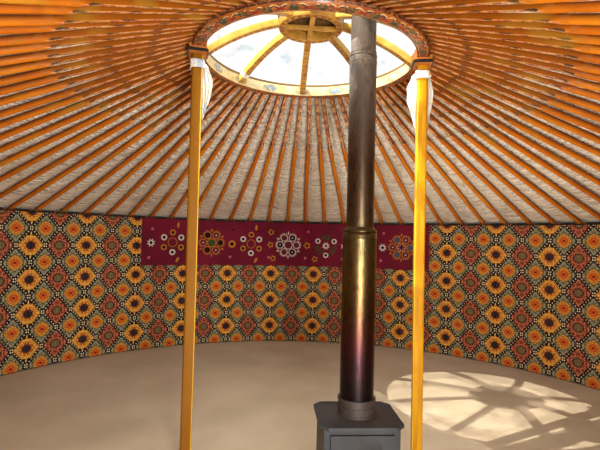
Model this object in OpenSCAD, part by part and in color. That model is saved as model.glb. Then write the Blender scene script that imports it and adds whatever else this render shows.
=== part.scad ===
// Round felt tent: lattice wall, roof poles, crown wheel on two posts, stove and flue.
// Millimetres, +Z up. The origin is the centre of the ground circle; the doorway faces -Y.
// Heights are measured from the finished floor, which is the top of the carpet.

/* [Plan and heights] */
// Radius of the room, to the face of the wall lining
room_r = 3020; // [2400:10:3400]
// Height from the floor to the middle of a pole foot
pole_foot_z = 1505; // [1350:5:1700]
// Height from the floor to the underside of the crown ring
crown_z = 2365; // [2300:5:2700]
// Number of roof poles, and of lattice heads
pole_count = 80; // [80:16:96]

/* [Floor] */
// Thickness of the timber deck
deck_t = 60; // [40:1:120]
// How far the deck runs past the wall cover
deck_margin = 45; // [40:1:90]
// Thickness of the carpet
carpet_t = 10; // [4:1:20]

/* [Wall] */
// Thickness of the patterned wall lining
lining_t = 5; // [2:0.5:8]
// Height of the top edge of the wall lining
lining_top_z = 1498; // [1200:1:1500]
// Width of a lattice lath
lath_w = 30; // [22:1:40]
// Thickness of a lattice lath
lath_t = 12; // [8:1:16]
// Height of the lowest crossing above the deck
lattice_foot = 55; // [45:1:90]
// How far the lath tips stand above the top crossing
lattice_tip = 78; // [40:1:80]
// Thickness of the felt and canvas wall cover
wall_cover_t = 32; // [15:1:60]
// Width of a girth band round the wall
girth_w = 60; // [30:1:90]
// Thickness of a girth band
girth_t = 5; // [3:0.5:10]
// Heights of the three girth bands above the deck
girth_z = [330, 830, 1330];

/* [Wall hanging] */
// Length of the red hanging along the wall
hanging_l = 3540; // [2000:10:4000]
// Height of the red hanging
hanging_h = 545; // [300:5:700]
// Thickness of the red hanging
hanging_t = 4; // [2:0.5:8]
// Direction of the middle of the hanging, from the X axis
hanging_angle = 90; // [60:1:120]

/* [Roof poles] */
// Diameter of the round part of a pole
pole_d = 40; // [36:1:48]
// Width of the square end of a pole
pole_end_w = 28; // [24:1:34]
// Depth of the square end of a pole
pole_end_h = 32; // [26:1:38]
// Length of the painted square end
pole_end_l = 780; // [500:10:1200]
// Width of the tenon in the crown ring
tenon_w = 20; // [16:1:26]
// Depth of the tenon in the crown ring
tenon_h = 22; // [18:1:28]
// Length of the tenon in the crown ring
tenon_l = 38; // [20:1:46]
// Clearance round every seat
seat_gap = 0.3; // [0.2:0.05:0.6]
// Thickness of the cord that ties a pole foot
tie_d = 6; // [4:1:8]
// Distance of the tie from the pole foot
tie_inset = 62; // [58:1:90]

/* [Roof cover] */
// Thickness of the pale roof lining
roof_lining_t = 4; // [2:0.5:8]
// Thickness of the felt and canvas roof cover
roof_cover_t = 34; // [15:1:60]
// How far the eave hangs past the wall cover
eave = 28; // [10:1:60]
// Number of straps that hold the roof cover down
strap_count = 16; // [8:8:16]
// Width of a roof strap
strap_w = 40; // [20:1:50]
// Thickness of a roof strap
strap_t = 3; // [2:0.5:5]

/* [Crown] */
// Outer radius of the crown ring
crown_r = 704; // [600:2:800]
// Radial width of the crown ring
crown_w = 71; // [60:1:100]
// Height of the crown ring
crown_h = 72; // [60:1:110]
// Number of arched spokes
spoke_count = 8; // [8:8:16]
// Width of a spoke
spoke_w = 44; // [30:1:60]
// Depth of a spoke
spoke_h = 42; // [24:1:50]
// Rise of a spoke above its own chord
spoke_bow = 26; // [5:1:50]
// Outer radius of the hub
hub_r = 195; // [150:1:240]
// Width of the hub rim
hub_w = 38; // [25:1:50]
// Height of the hub rim
hub_h = 64; // [50:1:90]
// How far the hub underside stands above the crown ring underside
hub_rise = 208; // [150:1:260]
// Thickness of the lid on the hub
hub_lid_t = 12; // [8:1:20]
// How far the lid runs past the hub
hub_lid_rim = 8; // [2:1:15]
// Width of a bar of the hub cross
cross_w = 30; // [20:1:40]
// Depth of a bar of the hub cross
cross_h = 22; // [15:1:30]
// Thickness of the clear cover over the crown
glazing_t = 5; // [3:1:8]
// Width of the light hoop on top of the crown ring
hoop_w = 28; // [20:1:32]
// Height of the light hoop
hoop_h = 13; // [8:1:14]
// Radius of the flue flashing on the clear cover
flashing_r = 125; // [100:1:125]
// Height of the flashing upstand above the middle of its plate
upstand_h = 90; // [60:1:140]

/* [Crown posts] */
// Side of a square post
post_w = 62; // [50:1:80]
// Angle of the posts from the X axis, towards the door
post_angle = 11.25; // [0:0.25:15]
// Thickness of the saddle cheeks beside the crown ring
cheek_t = 14; // [10:1:25]
// Height of the inner saddle cheek above the ring underside
cheek_h = 44; // [30:1:55]
// Height of the outer cheek, which stays below the roof poles
outer_cheek_h = 12; // [6:1:14]
// Depth of the saddle below the ring underside
saddle_h = 36; // [25:1:60]
// Length of the saddle along the crown ring
saddle_l = 110; // [80:1:160]
// Thickness of the cord lashed round a saddle
lash_d = 9; // [5:1:14]
// Thickness of a scarf in folds
scarf_t = 10; // [6:1:14]
// Width of a hanging scarf end in folds, away from the post
scarf_w = 60; // [40:1:90]
// Depth of the folds of a hanging scarf end
scarf_fold = 22; // [10:1:40]
// Length of a hanging scarf end
scarf_l = 350; // [200:10:500]
// Height of the turns of a scarf round a post
scarf_wrap_h = 52; // [30:1:80]
// Distance from the post top to the turns of the scarf
scarf_drop = 30; // [10:1:120]

/* [Doorway] */
// Width of the door frame over its jambs
frame_w = 860; // [760:10:1000]
// Depth of the door frame through the wall
frame_d = 140; // [130:5:200]
// Width of a jamb
jamb_w = 70; // [50:1:90]
// Height of the lintel
lintel_h = 85; // [60:1:120]
// Height of the sill above the deck
sill_h = 60; // [30:1:90]
// Thickness of a door leaf
leaf_t = 36; // [25:1:45]
// Diameter of a hinge barrel
hinge_d = 22; // [16:1:30]
// Height of a hinge barrel
hinge_h = 110; // [60:1:150]
// Diameter of a door pull ring, to the middle of its bar
pull_d = 70; // [50:1:90]
// Thickness of the bar of a door pull
pull_t = 8; // [6:1:12]

/* [Stove] */
// Place of the flue across the room
flue_x = 236; // [200:1:260]
// Place of the flue along the room
flue_y = -460; // [-480:1:-420]
// Height of the stove top
stove_z = 432; // [350:1:600]
// Width of the stove body
stove_w = 360; // [300:5:450]
// Depth of the stove body
stove_d = 300; // [250:5:400]
// Height of the stove body
stove_h = 290; // [240:5:330]
// Thickness of the stove walls
stove_wall = 8; // [5:1:15]
// Thickness of the stove top plate
stove_top_t = 14; // [8:1:25]
// How far the top plate runs past the body
stove_lip = 22; // [20:1:40]
// Cut across each corner of the top plate
stove_corner = 40; // [10:1:40]
// Depth of the shelf below the stove door
stove_shelf = 62; // [50:1:90]
// Diameter of the lower flue pipe
flue_d = 170; // [150:1:180]
// Diameter of the middle flue pipe
flue_mid_d = 138; // [120:1:145]
// Diameter of the flue pipe through the crown
flue_top_d = 128; // [100:1:134]
// Wall of the flue pipes
flue_wall = 3; // [2:0.5:5]
// Height of the cast collar round the foot of the flue
collar_h = 84; // [50:1:110]
// Wall of the collar
collar_t = 5; // [4:0.5:8]
// Height of the joint of the lower pipe
flue_joint_1 = 1335; // [1200:5:1500]
// Height of the joint of the middle pipe
flue_joint_2 = 2225; // [2000:5:2300]
// Height of the top of the flue
flue_z = 3180; // [2900:10:3500]

/* [Hidden] */
$fn = 96;
over = 1;

// Floor level above the ground
floor_z = deck_t + carpet_t;
door_angle = 270;
pitch = 360 / pole_count;

// Lattice: each lath runs over this many pitches between its end crossings
lath_span = 3.5;
half_span = lath_span * pitch / 2;
lattice_r = room_r + lining_t + 2 + lath_t;
head_r = lattice_r / cos(half_span);
foot_z = floor_z + pole_foot_z;
low_cross_z = deck_t + lattice_foot;
lath_run = 2 * head_r * sin(half_span);
// The pole sits in the fork of two laths; the tilt is settled with the fork height
fork_rise = (lath_w + pole_d) / 2 / sin(atan(lath_run / (foot_z - low_cross_z - 70)));
high_cross_z = foot_z - fork_rise - seat_gap;
lattice_h = high_cross_z - low_cross_z;
lath_tilt = atan(lath_run / lattice_h);
lath_l = lattice_h / cos(lath_tilt);
door_edge = asin((frame_w / 2 + lath_w) / head_r) / pitch;
section_edges = [door_edge, 0.21875 * pole_count, 0.40625 * pole_count,
                 0.59375 * pole_count, 0.78125 * pole_count, pole_count - door_edge];

// Wall cover stands just outside the tips of the laths
tip_reach = lath_run / 2 + (lattice_tip + lath_w) * tan(lath_tilt);
cover_r = sqrt(pow(lattice_r + lath_t, 2) + pow(tip_reach, 2)) + 1;
cover_out_r = cover_r + wall_cover_t;

// Roof slope, from the pole foot to the middle of the crown ring
crown_base_z = floor_z + crown_z;
tenon_z = crown_base_z + crown_h * 0.5;
roof_run = head_r - crown_r;
slope = atan((tenon_z - foot_z) / roof_run);
pole_l = roof_run / cos(slope);

// Height of a line parallel to the poles, a distance above their middle, at a radius
function roof_z(r, above) = foot_z + (head_r - r) * tan(slope) + above / cos(slope);

crown_in_r = crown_r - crown_w;
hub_z = crown_base_z + hub_rise;
hub_in_r = hub_r - hub_w;
frame_out_y = cover_out_r + 4;
frame_in_y = frame_out_y - frame_d;
frame_top_z = roof_z(head_r + 8, -pole_d / 2) - seat_gap;
open_w = frame_w - 2 * jamb_w;
leaf_w = open_w / 2 - 2;
leaf_low_z = deck_t + sill_h + 4;
leaf_h = frame_top_z - lintel_h - leaf_low_z - 4;
hinge_zs = [leaf_low_z + leaf_h * 0.14, leaf_low_z + leaf_h * 0.5, leaf_low_z + leaf_h * 0.86];
stove_low_z = floor_z + stove_z - stove_top_t - stove_h;

// Arch of a spoke: part of a circle that stands on edge, from the ring to the hub
arch_low_z = crown_base_z + crown_h / 2;
arch_high_z = hub_z + hub_h / 2;
arch_chord = norm([crown_in_r - hub_r, arch_high_z - arch_low_z]);
arch_r = arch_chord * arch_chord / 8 / spoke_bow + spoke_bow / 2;
arch_lean = atan((arch_high_z - arch_low_z) / (crown_in_r - hub_r));
arch_half = asin(arch_chord / 2 / arch_r);
arch_x = (crown_in_r + hub_r) / 2 - (arch_r - spoke_bow) * sin(arch_lean);
arch_z = (arch_low_z + arch_high_z) / 2 - (arch_r - spoke_bow) * cos(arch_lean);

// The clear cover is a cone from the ring up to the hub lid
glazing_low_r = crown_r - 4;
glazing_low_z = crown_base_z + crown_h;
glazing_top_r = hub_r + hub_lid_rim + 4;
glazing_top_z = hub_z + hub_h + hub_lid_t;
flue_hole_r = flue_top_d / 2 + 6;
function glazing_z(r) = glazing_low_z + (glazing_low_r - r) * (glazing_top_z - glazing_low_z)
    / (glazing_low_r - glazing_top_r);
stove_y = flue_y - 10;

module ring_sector(points, from, to) {
    rotate([0, 0, from]) rotate_extrude(angle = to - from, $fn = 192) polygon(points);
}

module doorway_cut() {
    translate([-frame_w / 2 - seat_gap, -2 * room_r, -over])
        cube([frame_w + 2 * seat_gap, 2 * room_r, 2 * crown_z]);
}

module floor_deck() {
    color("burlywood") cylinder(r = cover_out_r + deck_margin, h = deck_t, $fn = 192);
}

module carpet() {
    color("wheat") difference() {
        translate([0, 0, deck_t]) cylinder(r = room_r - 1, h = carpet_t, $fn = 192);
        translate([-frame_w / 2 - over, -room_r - over, deck_t - over])
            cube([frame_w + 2 * over, room_r - frame_in_y + over, 2 * carpet_t]);
    }
}

module wall_lining() {
    color("olive") difference() {
        ring_sector([[room_r, deck_t], [room_r + lining_t, deck_t],
                     [room_r + lining_t, floor_z + lining_top_z], [room_r, floor_z + lining_top_z]], 0, 360);
        doorway_cut();
    }
}

module wall_hanging() {
    half = hanging_l / room_r * 90 / PI;
    top = floor_z + lining_top_z - 6;
    color("firebrick")
        ring_sector([[room_r - hanging_t, top - hanging_h], [room_r, top - hanging_h],
                     [room_r, top], [room_r - hanging_t, top]], hanging_angle - half, hanging_angle + half);
}

// One straight lath. head is its pole number at the top crossing, way is +1 or -1
// for the two layers, and from and to are the ends of its section in pole pitches
module lath(head, way, from, to) {
    tip = lattice_tip / lattice_h;
    foot = (lattice_foot - lath_w / 2 * sin(lath_tilt)) / lattice_h;
    low = way > 0 ? 1 - (head - from) / lath_span : 1 - (to - head) / lath_span;
    high = way > 0 ? 1 + (to - head) / lath_span : 1 + (head - from) / lath_span;
    start = max(-foot, low);
    end = min(1 + tip, high);
    if (end - start > 0.1)
        rotate([0, 0, door_angle + pitch * (head - way * lath_span / 2)])
            translate([lattice_r + way * (lath_t / 2 - 0.5), 0, low_cross_z + lattice_h / 2])
                rotate([-way * lath_tilt, 0, 0])
                    translate([-lath_t / 2, -lath_w / 2, (start - 0.5) * lath_l])
                        cube([lath_t, lath_w, (end - start) * lath_l]);
}

module wall_lattice(section) {
    from = section_edges[section - 1];
    to = section_edges[section];
    color("peru") union() {
        for (head = [ceil(from) : floor(to + lath_span)]) lath(head, 1, from, to);
        for (head = [ceil(from - lath_span) : floor(to)]) lath(head, -1, from, to);
    }
}

module wall_cover(part) {
    step = 60;
    start = door_angle + (part - 1) * step;
    color("ivory") difference() {
        ring_sector([[cover_r, deck_t], [cover_out_r, deck_t],
                     [cover_out_r, roof_z(cover_out_r, pole_d / 2)],
                     [cover_r, roof_z(cover_r, pole_d / 2)]], start, start + step);
        doorway_cut();
    }
}

module girth_bands() {
    color("tan") difference() {
        for (z = girth_z)
            ring_sector([[cover_out_r, deck_t + z], [cover_out_r + girth_t, deck_t + z],
                         [cover_out_r + girth_t, deck_t + z + girth_w], [cover_out_r, deck_t + z + girth_w]],
                        0, 360);
        doorway_cut();
    }
}

module door_frame() {
    color("darkorange") difference() {
        translate([-frame_w / 2, -frame_out_y, deck_t]) cube([frame_w, frame_d, frame_top_z - deck_t]);
        translate([-open_w / 2, -frame_out_y - over, deck_t + sill_h])
            cube([open_w, frame_d + 2 * over, frame_top_z - lintel_h - deck_t - sill_h]);
    }
}

// A door leaf folded flat against the front of its jamb; side is -1 for left
module door_leaf(side) {
    near = open_w / 2 + 6;
    rail = 70;
    panel_t = 12;
    color("darkorange") translate([side * (near + leaf_w / 2), -frame_out_y - leaf_t - 2, leaf_low_z])
        difference() {
            translate([-leaf_w / 2, 0, 0]) cube([leaf_w, leaf_t, leaf_h]);
            for (half = [0, 1], face = [-1, 1])
                translate([-leaf_w / 2 + rail, face * (leaf_t + panel_t) / 2,
                           rail + half * (leaf_h - rail) / 2])
                    cube([leaf_w - 2 * rail, leaf_t, (leaf_h - 3 * rail) / 2]);
        }
}

module door_hinges() {
    plate_t = 2;
    color("dimgray") for (side = [-1, 1], z = hinge_zs) {
        translate([side * (open_w / 2 - hinge_d / 2), -frame_out_y - hinge_d / 2, z - hinge_h / 2])
            cylinder(d = hinge_d, h = hinge_h);
        translate([side > 0 ? open_w / 2 - hinge_d / 2 : -open_w / 2 + hinge_d / 2 - jamb_w,
                   -frame_out_y - plate_t, z - hinge_h / 2])
            cube([jamb_w, plate_t, hinge_h]);
    }
}

// Ring pulls on the free edges of the leaves
module door_pulls() {
    boss_l = 14;
    face_y = -frame_out_y - leaf_t - 2;
    color("dimgray") for (side = [-1, 1])
        translate([side * (open_w / 2 + leaf_w - 28), face_y, leaf_low_z + leaf_h * 0.5]) {
            rotate([90, 0, 0]) cylinder(d = 2.5 * pull_t, h = boss_l);
            translate([0, pull_t / 2 - boss_l, -pull_d / 2]) rotate([90, 0, 0])
                rotate_extrude() translate([pull_d / 2, 0]) circle(d = pull_t);
        }
}

// One roof pole along its own X axis, foot at the origin, crown end at pole_l
module pole_body() {
    turn = 110;
    square_from = pole_l - pole_end_l;
    rotate([0, 90, 0]) translate([0, 0, -4]) cylinder(d = pole_d, h = square_from + 4);
    translate([square_from, 0, 0]) rotate([0, 90, 0]) cylinder(d1 = pole_d, d2 = pole_end_w, h = turn);
    difference() {
        translate([square_from + turn * 0.5, -pole_end_w / 2, pole_d / 2 - pole_end_h])
            cube([pole_end_l - turn * 0.5 + 40, pole_end_w, pole_end_h]);
        // The shoulder is cut upright, to butt against the crown ring
        translate([pole_l - seat_gap / cos(slope), 0, 0]) rotate([0, slope, 0])
            translate([0, -pole_d, -2 * pole_d]) cube([4 * pole_d, 2 * pole_d, 4 * pole_d]);
    }
    translate([pole_l - 40, -tenon_w / 2, -tenon_h / 2]) cube([40 + tenon_l, tenon_w, tenon_h]);
}

module at_pole(index) {
    rotate([0, 0, index * pitch]) translate([head_r, 0, foot_z]) rotate([0, slope, 0]) rotate([0, 0, 180])
        children();
}

module roof_poles(group) {
    count = pole_count / 8;
    color("darkorange") for (index = [(group - 1) * count : group * count - 1]) at_pole(index) pole_body();
}

// A cord slung under each pole foot, open at the top where the roof lining lies
module pole_ties() {
    color("black") for (index = [0 : pole_count - 1]) at_pole(index) translate([tie_inset, 0, 0])
        rotate([0, 90, 0]) rotate([0, 0, -120])
            rotate_extrude(angle = 240) translate([pole_d / 2 + seat_gap + tie_d / 2, 0]) circle(d = tie_d);
}

module roof_lining() {
    low = pole_d / 2 + seat_gap;
    color("linen")
        ring_sector([[crown_r + 2, roof_z(crown_r + 2, low)], [cover_r - 1, roof_z(cover_r - 1, low)],
                     [cover_r - 1, roof_z(cover_r - 1, low + roof_lining_t)],
                     [crown_r + 2, roof_z(crown_r + 2, low + roof_lining_t)]], 0, 360);
}

module roof_cover(quarter) {
    low = pole_d / 2 + 2 * seat_gap + roof_lining_t;
    edge_r = cover_out_r + eave;
    color("white")
        ring_sector([[crown_r + 2, roof_z(crown_r + 2, low)], [edge_r, roof_z(edge_r, low)],
                     [edge_r, roof_z(edge_r, low + roof_cover_t)],
                     [crown_r + 2, roof_z(crown_r + 2, low + roof_cover_t)]],
                    (quarter - 1) * 90, quarter * 90);
}

// Flat straps over the roof cover; each turns down over the eave and ends on the top girth band
module roof_straps() {
    top = pole_d / 2 + 2 * seat_gap + roof_lining_t + roof_cover_t;
    edge_r = cover_out_r + eave;
    band_r = cover_out_r + girth_t;
    band_z = deck_t + girth_z[2];
    start_r = crown_r + 12;
    color("tan") for (index = [0 : strap_count - 1]) rotate([0, 0, (index + 0.5) * 360 / strap_count])
        rotate([90, 0, 0]) linear_extrude(strap_w, center = true)
            polygon([[start_r, roof_z(start_r, top)], [edge_r, roof_z(edge_r, top)],
                     [edge_r, roof_z(edge_r, top) - roof_cover_t],
                     [band_r, band_z + girth_w], [band_r, band_z + 10],
                     [band_r + strap_t, band_z + 10], [band_r + strap_t, band_z + girth_w],
                     [edge_r + strap_t, roof_z(edge_r, top) - roof_cover_t],
                     [edge_r + strap_t, roof_z(edge_r, top + strap_t)],
                     [start_r, roof_z(start_r, top + strap_t)]]);
}

module crown_ring() {
    bevel = 6;
    color("orange") difference() {
        ring_sector([[crown_in_r, crown_base_z + bevel], [crown_in_r + bevel, crown_base_z],
                     [crown_r - bevel, crown_base_z], [crown_r, crown_base_z + bevel],
                     [crown_r, crown_base_z + crown_h], [crown_in_r, crown_base_z + crown_h]], 0, 360);
        for (index = [0 : pole_count - 1]) at_pole(index)
            translate([pole_l - 20, -tenon_w / 2 - seat_gap, -tenon_h / 2 - seat_gap])
                cube([20 + tenon_l + 2, tenon_w + 2 * seat_gap, tenon_h + 2 * seat_gap]);
    }
}

// An arched spoke is a slice of a large flat ring, standing on edge
module crown_spokes() {
    half = arch_half + 4;
    color("goldenrod") intersection() {
        difference() {
            cylinder(r = crown_in_r, h = 2 * crown_z);
            translate([0, 0, -over]) cylinder(r = hub_r, h = 2 * crown_z + 2 * over);
        }
        for (index = [0 : spoke_count - 1]) rotate([0, 0, index * 360 / spoke_count])
            translate([arch_x, 0, arch_z])
                rotate([90, 0, 0]) rotate([0, 0, 90 - arch_lean - half])
                    rotate_extrude(angle = 2 * half, $fn = 192)
                        translate([arch_r - spoke_h / 2, -spoke_w / 2]) square([spoke_h, spoke_w]);
    }
}

// A knotted scarf round the spoke that points to the back left, close to the ring
module spoke_scarf() {
    wrap_l = 34;
    wrap_t = 6;
    turn = 90 - arch_lean - arch_half + 2.6;
    room = 2 * seat_gap;
    color("lightblue") rotate([0, 0, 135]) translate([arch_x, 0, arch_z]) rotate([0, -turn, 0])
        translate([arch_r, 0, 0]) difference() {
            union() {
                cube([spoke_h + 2 * wrap_t, spoke_w + 2 * wrap_t, wrap_l], center = true);
                translate([-spoke_h / 2 - wrap_t, 0, 0]) sphere(d = wrap_l - 6);
            }
            cube([spoke_h + 2 * room, spoke_w + 2 * room, 2 * wrap_l], center = true);
        }
}

module crown_hub() {
    color("goldenrod") {
        difference() {
            translate([0, 0, hub_z]) cylinder(r = hub_r, h = hub_h);
            translate([0, 0, hub_z - over]) cylinder(r = hub_in_r, h = hub_h + 2 * over);
        }
        translate([0, 0, hub_z + hub_h]) cylinder(r = hub_r + hub_lid_rim, h = hub_lid_t);
    }
}

module hub_cross() {
    color("orange") intersection() {
        translate([0, 0, hub_z]) cylinder(r = hub_in_r, h = cross_h);
        for (turn = [0, 90]) rotate([0, 0, turn])
            translate([-hub_r, -cross_w / 2, hub_z]) cube([2 * hub_r, cross_w, cross_h]);
    }
}

// A light hoop nailed on the ring keeps the clear cover off the poles
module crown_hoop() {
    color("goldenrod")
        ring_sector([[crown_in_r + 2, glazing_low_z], [crown_in_r + 2 + hoop_w, glazing_low_z],
                     [crown_in_r + 2 + hoop_w, glazing_low_z + hoop_h],
                     [crown_in_r + 2, glazing_low_z + hoop_h]], 0, 360);
}

module crown_glazing() {
    color("lightcyan", 0.5) difference() {
        ring_sector([[0, glazing_top_z], [glazing_top_r, glazing_top_z], [glazing_low_r, glazing_low_z],
                     [glazing_low_r, glazing_low_z + glazing_t], [glazing_top_r, glazing_top_z + glazing_t],
                     [0, glazing_top_z + glazing_t]], 0, 360);
        translate([flue_x, flue_y, glazing_low_z - over]) cylinder(r = flue_hole_r, h = 500);
    }
}

// Sheet-metal flashing: a round plate on the slope of the clear cover with an upstand round the flue
module flue_flashing() {
    plate_t = 2;
    inner_r = flue_top_d / 2 + seat_gap;
    middle_z = glazing_z(norm([flue_x, flue_y])) + glazing_t;
    color("silver") difference() {
        union() {
            intersection() {
                ring_sector([[glazing_top_r, glazing_top_z + glazing_t],
                             [glazing_low_r, glazing_low_z + glazing_t],
                             [glazing_low_r, glazing_low_z + glazing_t + plate_t],
                             [glazing_top_r, glazing_top_z + glazing_t + plate_t]], 0, 360);
                translate([flue_x, flue_y, glazing_low_z - over]) cylinder(r = flashing_r, h = 500);
            }
            translate([flue_x, flue_y, middle_z - 50]) cylinder(r = inner_r + 3, h = 50 + upstand_h);
        }
        translate([flue_x, flue_y, glazing_low_z - 100]) cylinder(r = inner_r, h = 600);
    }
}

module at_post(side) {
    rotate([0, 0, side > 0 ? -post_angle : 180 + post_angle]) translate([crown_r - crown_w / 2, 0, 0])
        children();
}

module crown_posts() {
    color("gold") for (side = [-1, 1]) at_post(side)
        translate([-post_w / 2, -post_w / 2, floor_z])
            cube([post_w, post_w, crown_base_z - saddle_h - floor_z]);
}

// The saddle grips the crown ring between two cheeks
module post_saddles() {
    width = crown_w + 2 * cheek_t;
    color("orange") difference() {
        for (side = [-1, 1]) at_post(side)
            translate([-width / 2, -saddle_l / 2, crown_base_z - saddle_h])
                cube([width, saddle_l, saddle_h + cheek_h]);
        ring_sector([[crown_in_r - seat_gap, crown_base_z], [crown_r + seat_gap, crown_base_z],
                     [crown_r + seat_gap, crown_base_z + 2 * crown_h],
                     [crown_in_r - seat_gap, crown_base_z + 2 * crown_h]], 0, 360);
        ring_sector([[crown_r, crown_base_z + outer_cheek_h], [crown_r + width, crown_base_z + outer_cheek_h],
                     [crown_r + width, crown_base_z + 2 * crown_h],
                     [crown_r, crown_base_z + 2 * crown_h]], 0, 360);
    }
}

// Two turns of cord round each saddle, just below the crown ring
module saddle_lashings() {
    in_x = crown_w + 2 * cheek_t + 2 * seat_gap;
    in_y = saddle_l + 2 * seat_gap;
    low_z = crown_base_z - saddle_h + 4;
    color("black") for (side = [-1, 1]) at_post(side) difference() {
        translate([-in_x / 2 - lash_d, -in_y / 2 - lash_d, low_z])
            cube([in_x + 2 * lash_d, in_y + 2 * lash_d, 2 * lash_d]);
        translate([-in_x / 2, -in_y / 2, low_z - over]) cube([in_x, in_y, 2 * lash_d + 2 * over]);
    }
}

// One hanging end of a scarf: x runs away from the post and z = 0 is the top of the turns
module scarf_end(width) {
    translate([0, scarf_fold / 2, 0]) rotate([90, 0, 0]) linear_extrude(scarf_fold)
        polygon([[0, 0], [width * 0.45, 0], [width, -scarf_l * 0.28], [width * 0.9, -scarf_l * 0.55],
                 [width * 0.3, -scarf_l], [0, -scarf_l]]);
}

// A scarf turned twice round each post, with its ends hanging; the right post has two ends
module post_scarves() {
    wrap_w = post_w + 2 * seat_gap + 2 * scarf_t;
    wrap_top_z = crown_base_z - saddle_h - scarf_drop;
    face_x = post_w / 2 + seat_gap;
    color("aliceblue") for (side = [-1, 1]) at_post(side) {
        translate([0, 0, wrap_top_z]) difference() {
            translate([-wrap_w / 2, -wrap_w / 2, -scarf_wrap_h]) cube([wrap_w, wrap_w, scarf_wrap_h]);
            translate([-face_x, -face_x, -2 * scarf_wrap_h])
                cube([2 * face_x, 2 * face_x, 3 * scarf_wrap_h]);
        }
        translate([-face_x, 0, wrap_top_z]) mirror([1, 0, 0]) scarf_end(scarf_w);
        if (side > 0) translate([face_x, 0, wrap_top_z]) scarf_end(scarf_w * 0.6);
    }
}

module stove_body() {
    leg_w = 26;
    mouth_w = stove_w - 90;
    mouth_h = stove_h - 110;
    color("dimgray") {
        difference() {
            translate([flue_x - stove_w / 2, stove_y - stove_d / 2, stove_low_z])
                cube([stove_w, stove_d, stove_h]);
            translate([flue_x - stove_w / 2 + stove_wall, stove_y - stove_d / 2 + stove_wall,
                       stove_low_z + stove_wall])
                cube([stove_w - 2 * stove_wall, stove_d - 2 * stove_wall, stove_h]);
            translate([flue_x - mouth_w / 2, stove_y - stove_d / 2 - over, stove_low_z + 70])
                cube([mouth_w, stove_wall + 2 * over, mouth_h]);
        }
        // Shelf that catches ash below the door
        translate([flue_x - stove_w / 2 + 20, stove_y - stove_d / 2 - stove_shelf, stove_low_z + 40])
            cube([stove_w - 40, stove_shelf + over, 8]);
        for (x = [-1, 1], y = [-1, 1])
            translate([flue_x + x * (stove_w / 2 - leg_w) - leg_w / 2,
                       stove_y + y * (stove_d / 2 - leg_w) - leg_w / 2, floor_z])
                cube([leg_w, leg_w, stove_low_z - floor_z]);
    }
}

module stove_top() {
    half_w = stove_w / 2 + stove_lip;
    half_d = stove_d / 2 + stove_lip;
    color("darkslategray") difference() {
        translate([flue_x, stove_y, floor_z + stove_z - stove_top_t]) linear_extrude(stove_top_t)
            polygon([[-half_w, -half_d + stove_corner], [-half_w + stove_corner, -half_d],
                     [half_w - stove_corner, -half_d], [half_w, -half_d + stove_corner],
                     [half_w, half_d - stove_corner], [half_w - stove_corner, half_d],
                     [-half_w + stove_corner, half_d], [-half_w, half_d - stove_corner]]);
        translate([flue_x, flue_y, 0]) cylinder(d = flue_d - 2 * flue_wall, h = 2 * stove_z);
    }
}

module stove_door() {
    door_w = stove_w - 60;
    door_h = stove_h - 80;
    color("black") difference() {
        union() {
            translate([flue_x - door_w / 2, stove_y - stove_d / 2 - 16, stove_low_z + 55])
                cube([door_w, 16, door_h]);
            translate([flue_x + door_w / 2 - 30, stove_y - stove_d / 2 - 46, stove_low_z + 55 + door_h / 2])
                rotate([-90, 0, 0]) cylinder(d = 12, h = 35);
        }
        translate([flue_x - door_w / 2 + 45, stove_y - stove_d / 2 - 16 - over, stove_low_z + 55 + 40])
            cube([door_w - 110, 8, door_h - 80]);
    }
}

module pipe(d, from, to) {
    translate([flue_x, flue_y, from]) difference() {
        cylinder(d = d, h = to - from);
        translate([0, 0, -over]) cylinder(d = d - 2 * flue_wall, h = to - from + 2 * over);
    }
}

module flue_lower() {
    color("saddlebrown") pipe(flue_d, floor_z + stove_z, floor_z + flue_joint_1);
}

// Cast collar on the stove top, with three ribs
module flue_collar() {
    inner_r = flue_d / 2 + seat_gap;
    outer_r = inner_r + collar_t;
    rib = 4;
    color("darkslategray") translate([flue_x, flue_y, floor_z + stove_z]) {
        difference() {
            cylinder(r = outer_r, h = collar_h);
            translate([0, 0, -over]) cylinder(r = inner_r, h = collar_h + 2 * over);
        }
        for (part = [0, 0.42, 0.86]) translate([0, 0, part * collar_h]) difference() {
            cylinder(r = outer_r + rib, h = collar_h * 0.12);
            translate([0, 0, -over]) cylinder(r = inner_r + 1, h = collar_h);
        }
    }
}

module flue_upper() {
    color("sienna") {
        pipe(flue_mid_d, floor_z + flue_joint_1, floor_z + flue_joint_2);
        pipe(flue_top_d, floor_z + flue_joint_2, floor_z + flue_z);
    }
}

module flue_bands() {
    band_h = 26;
    color("dimgray")
    for (joint = [[flue_d, flue_mid_d, flue_joint_1], [flue_mid_d, flue_top_d, flue_joint_2]])
        translate([flue_x, flue_y, floor_z + joint[2]]) difference() {
            cylinder(d1 = joint[0], d2 = joint[1] + 6, h = band_h);
            translate([0, 0, -over]) cylinder(d = joint[1], h = band_h + 2 * over);
        }
}

module flue_cap() {
    cap_z = floor_z + flue_z;
    color("gray") translate([flue_x, flue_y, 0]) {
        translate([0, 0, cap_z + 60]) cylinder(d1 = 260, d2 = 20, h = 70);
        for (turn = [0, 120, 240]) rotate([0, 0, turn])
            translate([flue_top_d / 2, -10, cap_z - 50]) cube([3, 20, 112]);
    }
}

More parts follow.
